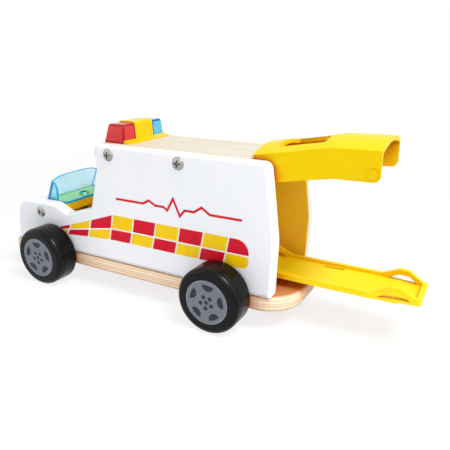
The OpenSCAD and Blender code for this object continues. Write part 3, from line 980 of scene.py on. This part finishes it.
# painted shade and bounced light: the tailgate turns orange where its faces and the body shade each other
GATE_PLASTIC = Finish("gate_plastic", (238, 201, 0), (235, 197, 0), 0.36, 50.0, 0.0, 0.08,
                      painted_shade=(190, 72, 0), reach=60.0, deepest=0.42)
# painted shade: the stretcher turns deeper yellow where the body and the tailgate shade it
LITTER_PLASTIC = Finish("litter_plastic", (248, 217, 26), (246, 212, 20), 0.42, 50.0, gloss=0.1,
                        painted_shade=(244, 172, 0))
BAR_PLASTIC = Finish("bar_plastic", (234, 194, 0), (230, 188, 0), 0.25, 60.0, gloss=0.12)
RED_LENS = Lens("red_lens_plastic", (236, 70, 68), (224, 54, 54), 0.12, 80.0, gloss=0.2,
                transmission=0.3, frame=(182, 12, 22))
BLUE_LENS = Lens("blue_lens_plastic", (108, 212, 236), (86, 198, 230), 0.08, 80.0, gloss=0.2,
                 transmission=0.3, frame=(6, 92, 176))
SCREEN_FACE = Clear("screen_face", (206, 239, 251), (196, 234, 250), 0.03, 60.0)
SCREEN_RIM = Clear("screen_rim", (8, 180, 238), (0, 166, 230), 0.1, 60.0, transmission=0.15)
# painted light: the flange's green stands in for the yellow dash lit and seen through the blue plastic
SCREEN_FOOT = Clear("screen_foot", (150, 222, 140), (138, 214, 128), 0.08, 60.0, transmission=0.25)
TYRE_BLACK = Finish("tyre_black", (6, 7, 9), (4, 5, 7), 0.24, 70.0, 0.002, 0.18)
HUB_GREY = Finish("hub_grey", (114, 121, 132), (108, 115, 127), 0.4, 200.0, gloss=0.2)
HUB_LINE = Finish("hub_line", (134, 141, 150), (126, 133, 144), 0.4, 200.0, gloss=0.2)
HUB_DARK = Finish("hub_dark", (44, 48, 58), (38, 42, 51), 0.4, 200.0, gloss=0.2)
PRINT_RED = Finish("print_red", (212, 18, 44), (204, 14, 38), 0.3, 150.0, gloss=0.12)
PRINT_YELLOW = Finish("print_yellow", (246, 204, 14), (242, 196, 8), 0.3, 150.0, gloss=0.12)
# painted: the blue-green stands in for the screw seen through the blue windscreen; its recess darkens with
# painted shade
STEEL_SEEN_THROUGH_SCREEN = Metal("steel_seen_through_screen", (104, 168, 138), (92, 150, 126), 0.5, 900.0, 0.01,
                     painted_shade=(32, 84, 84), reach=3.0, deepest=0.4)
# painted shade: the screw heads darken in their cross recesses
STEEL = Metal("steel", (172, 174, 170), (152, 154, 150), 0.3, 900.0, 0.01, painted_shade=(26, 26, 25), reach=3.0,
              deepest=0.5)


# Pieces

SHARP_ANGLE = 38.0
FLAT_ANGLE = 0.4
NORMAL_WEIGHT = 60
WELD_WITHIN = 0.002
BEVEL_STEPS = 3


def add_object(name: str, data: bpy.types.ID) -> bpy.types.Object:
    """Puts a mesh, a lamp or a camera into the scene.

    Args:
        name: the object's name.
        data: what it shows.

    Returns:
        The object.
    """
    made = bpy.data.objects.new(name, data)
    bpy.context.scene.collection.objects.link(made)
    return made


def add_piece(name: str, shape: Shape, finishes: Sequence[Finish], body: str,
              stands_for: Sequence[str] = (), places: Optional[np.ndarray] = None) -> bpy.types.Object:
    """Makes a piece, with even normals, riding on a body.

    Args:
        name: the piece's name.
        shape: its mesh in millimetres, with x from the rear axle.
        finishes: the finish of each material slot.
        body: the body that it moves with.
        stands_for: the frame's nodes that it replaces.
        places: each vertex's own coordinates for its finish, if it has any.

    Returns:
        The piece.
    """
    mesh = bpy.data.meshes.new(name)
    mesh.from_pydata(shape.vertices * MM + DATUM, [], shape.faces)
    for finish in finishes:
        mesh.materials.append(finish.material())
    mesh.polygons.foreach_set("material_index", shape.slots)
    mesh.polygons.foreach_set("use_smooth", [True] * len(shape.faces))
    if places is not None:
        own = mesh.attributes.new(LENS_PLACE, "FLOAT_VECTOR", "POINT")
        own.data.foreach_set("vector", places.ravel())
    mesh.update()
    mesh.set_sharp_from_angle(angle=math.radians(SHARP_ANGLE))
    piece = add_object(name, mesh)
    even_normals(piece)
    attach(piece, body)
    if stands_for:
        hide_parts(*stands_for)
    LOG.info("%s: %d faces on %s", name, len(shape.faces), body)
    return piece


def even_normals(piece: bpy.types.Object) -> None:
    """Adds normals weighted by face area, so that flat faces stay flat beside rounded edges.

    Args:
        piece: the object.
    """
    even = piece.modifiers.new("even_normals", "WEIGHTED_NORMAL")
    even.keep_sharp = True
    even.weight = NORMAL_WEIGHT


def dress(node: str, finish: Finish, edge: float = 0.0) -> None:
    """Gives a node of the frame its finish, merged corners and, where asked, softened edges.

    Args:
        node: the node's name.
        finish: its finish.
        edge: rounding of its edges in millimetres, zero for none.
    """
    piece = frame["nodes"][node]
    piece.data.materials.clear()
    piece.data.materials.append(finish.material())
    weld = piece.modifiers.new("weld", "WELD")
    weld.merge_threshold = WELD_WITHIN * MM
    if edge:
        flat = piece.modifiers.new("flat_faces", "DECIMATE")
        flat.decimate_type = "DISSOLVE"
        flat.angle_limit = math.radians(FLAT_ANGLE)
        bevel = piece.modifiers.new("soft_edges", "BEVEL")
        bevel.width = edge * MM
        bevel.segments = BEVEL_STEPS
        bevel.limit_method = "ANGLE"
        bevel.angle_limit = math.radians(SHARP_ANGLE)
    split = piece.modifiers.new("sharp_edges", "EDGE_SPLIT")
    split.split_angle = math.radians(SHARP_ANGLE)
    even_normals(piece)
    LOG.info("%s: dressed in %s", node, finish.name)


@dataclass
class SidePanels:
    """The two white side panels with their soft outer edges."""

    half_width: float = 31.4
    thickness: float = 8.0
    outer_round: float = 1.8
    inner_round: float = 0.6
    outline: Sequence[Point] = (
        (-31.6, 22.0), (-32.8, 55.4), (-27.4, 99.0), (92.0, 99.0), (90.6, 84.0), (98.3, 56.4),
        (120.5, 49.0), (133.0, 54.3), (167.0, 53.3), (171.03, 38.15), (172.6, 22.0))
    radii: Sequence[float] = (1.5, 9.0, 4.5, 4.5, 9.0, 3.0, 3.0, 9.0, 9.0, 9.0, 1.5)

    def build(self) -> None:
        """Makes both panels as rounded plates of one outline."""
        plan = rounded(self.outline, self.radii)
        rounds = (self.inner_round, self.outer_round)
        for side in Side:
            span = side.span(self.half_width - self.thickness, self.half_width)
            panel = slab(plan, span, Plane.SIDE, rounds[::side.value])
            node = f"{side.word}_panel"
            add_piece(f"{node}_painted", panel, [PANEL_PAINT], "body", [node])


@dataclass
class SidePrint:
    """The chequered band and the pulse line printed on each side panel."""

    face: float = 31.4
    film: float = 0.03
    gap: float = 0.9
    slant: float = 2.0
    ends: Point = (128.7, -18.2)
    breaks: Sequence[float] = (117.8, 98.8, 79.7, 62.5, 45.3, 28.0, 11.3, -5.3)
    top_line: Sequence[Point] = (
        (-18.2, 55.1), (79.6, 55.1), (98.8, 48.5), (117.8, 42.3), (128.7, 39.0))
    middle_line: Sequence[Point] = (
        (-18.2, 45.3), (79.6, 45.3), (99.0, 41.9), (118.3, 38.4), (128.7, 36.5))
    low_line: Sequence[Point] = (
        (-18.2, 37.0), (79.6, 37.0), (100.3, 35.6), (118.6, 34.0), (128.7, 33.2))
    upper_corner: float = 8.0
    lower_corner: float = 5.0
    line_ends: Point = (76.0, -13.4)
    line_heights: Point = (62.0, 72.0)
    line_width: float = 1.5
    pulse: Sequence[Point] = (
        (0.0, 0.4), (0.24, 0.4), (0.29, 0.65), (0.34, 0.4), (0.41, 0.4), (0.44, 0.22), (0.49, 1.0),
        (0.54, 0.0), (0.58, 0.4), (0.65, 0.4), (0.71, 0.75), (0.77, 0.4), (1.0, 0.4))

    def cell(self, row: int, place: int) -> np.ndarray:
        """Outline of one field of the band, between two breaks that lean forward as they go down.

        Args:
            row: 0 for the upper row, 1 for the lower.
            place: counted from the front.

        Returns:
            The outline, with the white gap taken off.
        """
        lines = (self.top_line, self.middle_line) if row == 0 else (self.middle_line, self.low_line)
        marks = np.array([self.ends[0], *self.breaks, self.ends[1]])[place:place + 2]
        shifts = np.array([0.0, *[self.slant] * len(self.breaks), 0.0])[place:place + 2]
        upper = marks + row * shifts
        lower = marks + (row + 1) * shifts
        heights = [np.interp(at, *np.array(line).T) for at, line in zip((upper, lower), lines)]
        corners = [(upper[0], heights[0][0]), (lower[0], heights[1][0]),
                   (lower[1], heights[1][1]), (upper[1], heights[0][1])]
        radii = [0.0] * 4
        if place == len(self.breaks):
            radii[3 - row] = self.upper_corner if row == 0 else self.lower_corner
        return inset(rounded(corners, radii), self.gap / 2)

    def pulse_outline(self) -> np.ndarray:
        """Outline of the pulse line, its shares stretched over the place that it fills.

        Returns:
            The outline.
        """
        shares = np.array(self.pulse)
        along = self.line_ends[0] + shares[:, 0] * (self.line_ends[1] - self.line_ends[0])
        rise = self.line_heights[0] + shares[:, 1] * (self.line_heights[1] - self.line_heights[0])
        return ribbon(np.stack([along, rise], -1), self.line_width)

    def build(self, side: Side) -> None:
        """Lays the prints on one side.

        Args:
            side: the side of the vehicle.
        """
        span = side.span(self.face - self.film, self.face + self.film)
        cells = [(row, place) for row in (0, 1) for place in range(len(self.breaks) + 1)]
        shapes = {odd: joined([slab(self.cell(row, place), span, Plane.SIDE)
                               for row, place in cells if (row + place) % 2 == odd]) for odd in (0, 1)}
        add_piece(f"{side.word}_band_red", shapes[0], [PRINT_RED], "body")
        add_piece(f"{side.word}_band_yellow", shapes[1], [PRINT_YELLOW], "body")
        line = slab(self.pulse_outline(), span, Plane.SIDE)
        add_piece(f"{side.word}_pulse_line", line, [PRINT_RED], "body")


@dataclass
class Wheel:
    """A turned wheel with a tread groove and a printed hub."""

    axle: str
    station: float
    turn: float
    radius: float = 20.0
    inner_face: float = 32.4
    outer_face: float = 48.4
    print_depth: float = 0.08
    film: float = 0.025
    shoulder: float = 3.2
    inner_shoulder: float = 1.0
    groove_in: float = 4.6
    groove: float = 0.5
    hub: float = 13.44
    hub_line: float = 0.5
    windows: int = 5
    window_at: float = 11.0
    window_r: float = 3.8
    dot_at: float = 3.6
    dot_r: float = 1.3

    @property
    def face(self) -> float:
        """Distance of the tyre's outer face, below the print, from the vehicle's middle."""
        return self.outer_face - self.print_depth

    def profile(self) -> list[Point]:
        """Section of the wheel from its inner to its outer pole: arcs at both shoulders and the groove.

        Returns:
            Radius and distance from the vehicle's middle of each point.
        """
        low, high, groove = self.inner_shoulder, self.shoulder, self.outer_face - self.groove_in
        inner = arc((self.radius - low, self.inner_face + low), low, -90, 0, ARC_STEPS)
        mark = arc((self.radius, groove), self.groove, -90, -270, ARC_STEPS)
        outer = arc((self.radius - high, self.face - high), high, 0, 90, FINE_ARC_STEPS)
        return [(0.0, self.inner_face), *inner.tolist(), *mark.tolist(), *outer.tolist(),
                (self.hub, self.face), (0.0, self.face)]

    def around(self, reach: float, degrees: float) -> Point:
        """Place on the wheel's face, with angles counted from the rear upward.

        Args:
            reach: distance from the axle.
            degrees: angle.

        Returns:
            Station and height.
        """
        angle = math.radians(degrees)
        return self.station - reach * math.cos(angle), self.radius + reach * math.sin(angle)

    def window(self, degrees: float) -> np.ndarray:
        """Outline of a window: inside a small circle on the ring of windows, and inside that ring.

        Args:
            degrees: the window's angle.

        Returns:
            The outline.
        """
        half = math.degrees(math.acos(1 - (self.window_r / self.window_at) ** 2 / 2))
        meet = 90 + half / 2
        ring = arc((0.0, 0.0), self.window_at, -half, half, ARC_STEPS)
        bowl = arc((self.window_at, 0.0), self.window_r, meet, 360 - meet, 2 * ARC_STEPS)[1:-1]
        angle = math.radians(degrees)
        along, across = np.vstack([ring, bowl]).T
        x = self.station - (along * math.cos(angle) - across * math.sin(angle))
        z = self.radius + along * math.sin(angle) + across * math.cos(angle)
        return np.stack([x, z], -1)

    def layer(self, side: Side, level: int) -> Point:
        """Low and high face of a layer of print.

        Args:
            side: the side of the vehicle.
            level: 1 for the first layer.

        Returns:
            The two faces, in order.
        """
        return side.span(self.face - self.film, self.face + level * self.film)

    def build(self, side: Side) -> None:
        """Makes the wheel and its hub on one side.

        Args:
            side: the side of the vehicle.
        """
        word, body = f"{self.axle}_{side.word}", f"{self.axle}_wheels"
        centre = (self.station, self.radius)
        turned = lathe(self.profile(), centre, side)
        add_piece(f"{word}_wheel_turned", turned, [TYRE_BLACK], body, [f"{word}_wheel"])
        pitch = 360 / self.windows
        angles = [self.turn + pitch * i for i in range(self.windows)]
        disc = slab(circle(centre, self.hub), self.layer(side, 1), Plane.SIDE)
        plate = slab(circle(centre, self.hub - self.hub_line), self.layer(side, 2), Plane.SIDE)
        dark = [self.window(angle) for angle in angles]
        dots = [self.around(self.dot_at, angle + pitch / 2) for angle in angles] + [centre]
        dark += [circle(dot, self.dot_r, FINE_ARC_STEPS) for dot in dots]
        marks = joined([slab(outline, self.layer(side, 3), Plane.SIDE) for outline in dark])
        add_piece(f"{word}_hub_line", disc, [HUB_LINE], body)
        add_piece(f"{word}_hub_plate", plate, [HUB_GREY], body)
        add_piece(f"{word}_hub_marks", marks, [HUB_DARK], body)


@dataclass
class Windscreen:
    """Clear blue windscreen: a flange on the dash, a leaning wall with an arched edge, and two wings."""

    rear: float = 128.52
    front: float = 148.1
    low: float = 52.48
    wall: float = 1.8
    height: float = 16.8
    lean: float = 7.2
    arch: float = 3.4
    arch_power: int = 4
    half_width: float = 22.6
    wing_l: float = 9.9
    wing_h: float = 8.5
    edge: float = 0.3
    arch_steps: int = 48

    @property
    def foot(self) -> float:
        """Height of the flange's upper face, on which the wall and the wings stand."""
        return self.low + self.wall

    def pane(self, outline: np.ndarray, span: Point, plane: Plane) -> Shape:
        """An upright plate with clear faces and a deep blue rim.

        Args:
            outline: its outline.
            span: its low and its high face.
            plane: how the outline lies.

        Returns:
            The plate.
        """
        return slab(outline, span, plane, (self.edge, self.edge), (ScreenSlot.FACE, ScreenSlot.RIM))

    def front_wall(self) -> Shape:
        """The wall: a plate of the arched outline, sheared backward with height.

        Returns:
            The wall.
        """
        share = np.linspace(1, -1, self.arch_steps)
        crest = self.foot + self.height - self.arch * np.abs(share) ** self.arch_power
        low_corners = [(-self.half_width, self.foot), (self.half_width, self.foot)]
        outline = np.vstack([low_corners, np.stack([self.half_width * share, crest], -1)])
        plate = self.pane(outline, (self.front - self.wall, self.front), Plane.FRONT)
        plate.vertices[:, 0] -= self.lean * (plate.vertices[:, 2] - self.foot) / self.height
        return plate

    def wing(self, side: Side) -> Shape:
        """A side wing, upright at its rear and rounded up to the wall.

        Args:
            side: the side of the vehicle.

        Returns:
            The wing.
        """
        foot, middle = self.foot, self.wall / 2
        top = foot + self.height - self.arch - middle
        meet = self.front - self.lean * (top - foot) / self.height
        back = self.front - self.wing_l
        points = [(back, foot), (back, foot + self.wing_h), (meet - self.wall, top), (meet - middle, top),
                  (self.front - middle, foot)]
        outline = rounded(points, [0.0, top - foot - self.wing_h, 0.0, 0.0, 0.0])
        return self.pane(outline, side.span(self.half_width - self.wall, self.half_width), Plane.SIDE)

    def build(self) -> None:
        """Makes the windscreen as one piece, its flange painted green to stand in for the yellow dash lit
        through the blue plastic.
        """
        flange = np.array([(self.rear, -self.half_width), (self.front, -self.half_width),
                           (self.front, self.half_width), (self.rear, self.half_width)])
        foot = slab(flange, (self.low, self.foot), Plane.PLAN, (0.0, self.edge),
                    (ScreenSlot.FOOT, ScreenSlot.RIM))
        parts = [foot, self.front_wall(), *[self.wing(side) for side in Side]]
        finishes = [SCREEN_FACE, SCREEN_RIM, SCREEN_FOOT]
        add_piece("windscreen_clear", joined(parts), finishes, "body", ["windscreen"])


@dataclass
class LightLens:
    """A lens of the light bar: a block that tapers upward, with rounded edges except at the bar's middle."""

    side: Side
    node: str
    slot: str
    finish: Lens
    rear: float = LENS_LOW[0]
    inner: float = LENS_LOW[1]
    low: float = LENS_LOW[2]
    front: float = LENS_HIGH[0]
    outer: float = LENS_HIGH[1]
    high: float = LENS_HIGH[2]
    rear_in: float = 0.9
    front_in: float = 3.4
    end_in: float = 1.4
    edge: float = 1.8
    edge_left: float = 1e-3
    levels: int = 8

    def build(self) -> None:
        """Makes the lens from level rings of a rounded box, which then tapers."""
        box = [(self.rear, self.inner - self.edge), (self.front, self.inner - self.edge),
               (self.front, self.outer), (self.rear, self.outer)]
        outline = counterclockwise(rounded(box, [self.edge] * 4))
        turn = np.linspace(0, np.pi / 2, ARC_STEPS + 1)
        heights = np.concatenate([np.linspace(self.low, self.high - self.edge, self.levels),
                                  self.high - self.edge * (1 - np.sin(turn[1:]))])
        drawn_in = self.edge * (1 - self.edge_left) * (1 - np.cos(turn[1:]))
        insets = np.concatenate([np.zeros(self.levels), drawn_in])
        plan = outline + insets[:, None, None] * mitre(outline)
        rings = np.concatenate([plan, np.broadcast_to(heights[:, None, None], plan.shape[:2] + (1,))], -1)
        rings[..., 1] = np.maximum(rings[..., 1], self.inner)
        places = rings.reshape(-1, 3).copy()
        rise = (rings[..., 2] - self.low) / (self.high - self.low)
        ahead = (rings[..., 0] - self.rear) / (self.front - self.rear)
        outward = (rings[..., 1] - self.inner) / (self.outer - self.inner)
        rings[..., 0] += rise * (self.rear_in * (1 - ahead) - self.front_in * ahead)
        rings[..., 1] -= rise * self.end_in * outward
        shape = capped(rings)
        shape.vertices[:, 1] *= self.side.value
        if self.side is Side.RIGHT:
            shape.faces = [face[::-1] for face in shape.faces]
        add_piece(f"{self.node}_moulded", shape, [self.finish], "body", [self.node], places)


@dataclass
class FramePieces:
    """Nodes of the frame whose shape is already right, with their finishes and their softened edges."""

    edge: float = 0.4
    softened: Sequence[str] = ("light_base", "stretcher")
    steel: Sequence[str] = (
        "base_screws", "left_panel_screws", "right_panel_screws", "light_screws", "tailgate_pins",
        "front_axle", "front_washers", "rear_axle", "rear_washers")
    finishes: dict[str, Finish] = field(default_factory=lambda: {
        "base_board": BASE_PLY, "roof_board": ROOF_WOOD, "dash_block": YELLOW_PAINT,
        "nose_block": WHITE_PAINT, "light_base": BAR_PLASTIC, "tailgate": GATE_PLASTIC,
        "stretcher": LITTER_PLASTIC, "windscreen_screw": STEEL_SEEN_THROUGH_SCREEN})

    def build(self) -> None:
        """Dresses every node in the lists."""
        for node, finish in (self.finishes | dict.fromkeys(self.steel, STEEL)).items():
            dress(node, finish, self.edge if node in self.softened else 0.0)


# Studio

WHITE = (1.0, 1.0, 1.0, 1.0)
UPWARD = (0.0, 0.0, 1.0)


def posed(axes: np.ndarray, place: Sequence[float]) -> Matrix:
    """Matrix of an object.

    Args:
        axes: its three axes, as columns.
        place: where it stands.

    Returns:
        The matrix.
    """
    return Matrix.Translation(place) @ Matrix(axes.tolist()).to_4x4()


@dataclass(frozen=True)
class Lamp:
    """A square soft light, with its place and its width in metres."""

    name: str
    place: Sequence[float]
    width: float
    watts: float

    def hang(self, target: Sequence[float]) -> None:
        """Hangs the light, aimed at a point.

        Args:
            target: the point, in metres.
        """
        light = bpy.data.lights.new(self.name, "AREA")
        light.size = self.width
        light.energy = self.watts
        back = unit(np.subtract(self.place, target))
        right = unit(np.cross(UPWARD, back))
        axes = np.stack([right, np.cross(back, right), back], -1)
        add_object(self.name, light).matrix_world = posed(axes, self.place)


@dataclass
class Studio:
    """White floor and sky with soft lights."""

    floor_size: float = 6.0
    floor_white: float = 0.95
    near_glow: float = 0.8
    glow_reach: Point = (0.2, 0.6)
    sky_light: float = 0.36
    target: Sequence[float] = (0.0, 0.0, 0.05)
    lamps: Sequence[Lamp] = (
        Lamp("key", (-0.45, 0.9, 0.8), 0.7, 2.85),
        Lamp("front_fill", (0.9, 0.7, 0.6), 0.9, 1.9),
        Lamp("rear_fill", (-1.0, 0.05, 0.65), 0.8, 2.0),
        Lamp("top", (-0.58, 0.14, 1.0), 0.4, 11.0))

    def floor(self) -> None:
        """Lays a pale floor that glows white to the camera but keeps a soft shadow."""
        half = self.floor_size / 2
        mesh = bpy.data.meshes.new("floor")
        corners = [(-half, -half, 0), (half, -half, 0), (half, half, 0), (-half, half, 0)]
        mesh.from_pydata(corners, [], [(0, 1, 2, 3)])
        plane = add_object("floor", mesh)
        made = bpy.data.materials.new("floor_white")
        graph = emptied(made)
        pale = (self.floor_white, self.floor_white, self.floor_white, 1.0)
        matt = graph.add("ShaderNodeBsdfDiffuse", {"Color": pale}).outputs[0]
        glow = graph.add("ShaderNodeEmission", {"Color": WHITE, "Strength": 1.0}).outputs[0]
        where = graph.add("ShaderNodeTexCoord").outputs["Object"]
        away = graph.add("ShaderNodeVectorMath", {0: where}, operation="LENGTH").outputs["Value"]
        glowing = graph.spread(away, *self.glow_reach, self.near_glow, 1.0)
        share = graph.math("MULTIPLY", self.seen(graph), glowing)
        mixed = graph.add("ShaderNodeMixShader", {0: share, 1: matt, 2: glow}).outputs[0]
        graph.add("ShaderNodeOutputMaterial", {"Surface": mixed})
        mesh.materials.append(made)

    def seen(self, graph: Graph) -> Socket:
        """Adds the test for rays that the camera follows, also by reflection and through clear plastic.

        Args:
            graph: the tree.

        Returns:
            1 for such rays, 0 for light.
        """
        path = graph.add("ShaderNodeLightPath").outputs
        beyond = graph.math("MAXIMUM", path["Is Glossy Ray"], path["Is Transmission Ray"])
        return graph.math("MAXIMUM", path["Is Camera Ray"], beyond)

    def sky(self) -> None:
        """Sets an even sky, white to the camera and in reflections, and softer as light."""
        world = bpy.data.worlds.new("white_sky")
        graph = emptied(world)
        strength = graph.spread(self.seen(graph), 0.0, 1.0, self.sky_light, 1.0)
        light = graph.add("ShaderNodeBackground", {"Color": WHITE, "Strength": strength})
        graph.add("ShaderNodeOutputWorld", {"Surface": light.outputs[0]})
        bpy.context.scene.world = world

    def build(self) -> None:
        """Sets the whole studio."""
        bpy.context.scene.view_settings.view_transform = "Standard"
        self.floor()
        self.sky()
        for lamp in self.lamps:
            lamp.hang(self.target)


@dataclass
class Viewpoint:
    """The photograph's camera, as found from the part's own corners in the picture."""

    place: Sequence[float] = (-128.602, 260.189, 151.135)
    yaw: float = 0.503
    pitch: float = 0.330
    roll: float = 0.003
    focal_px: float = 491.945
    image_px: float = 450.0
    sensor_mm: float = 36.0
    clip_start: float = 0.01

    def build(self) -> None:
        """Sets the camera, its axes from yaw and pitch and then rolled about its view."""
        level = math.cos(self.pitch)
        ahead = np.array([math.sin(self.yaw) * level, -math.cos(self.yaw) * level, -math.sin(self.pitch)])
        right = np.array([-math.cos(self.yaw), -math.sin(self.yaw), 0.0])
        above = np.cross(right, ahead)
        cos, sin = math.cos(self.roll), math.sin(self.roll)
        axes = np.stack([cos * right + sin * above, cos * above - sin * right, -ahead], -1)
        data = bpy.data.cameras.new("photo_view")
        data.sensor_width = self.sensor_mm
        data.sensor_fit = "HORIZONTAL"
        data.lens = self.focal_px / self.image_px * self.sensor_mm
        data.clip_start = self.clip_start
        camera = add_object("photo_view", data)
        camera.matrix_world = posed(axes, np.array(self.place) * MM + DATUM)
        bpy.context.scene.camera = camera


def main() -> None:
    """Builds the ambulance, then its studio."""
    logging.basicConfig(level=logging.INFO, format="%(name)s: %(message)s")
    Viewpoint().build()
    SidePanels().build()
    for side in Side:
        SidePrint().build(side)
    for wheel in (Wheel("rear", station=0.0, turn=84.0), Wheel("front", station=134.5, turn=90.0)):
        for side in Side:
            wheel.build(side)
    Windscreen().build()
    LightLens(Side.LEFT, "red_lens", "red_clear", RED_LENS).build()
    LightLens(Side.RIGHT, "blue_lens", "lens_blue", BLUE_LENS).build()
    FramePieces().build()
    Studio().build()


if __name__ == "__main__":
    main()
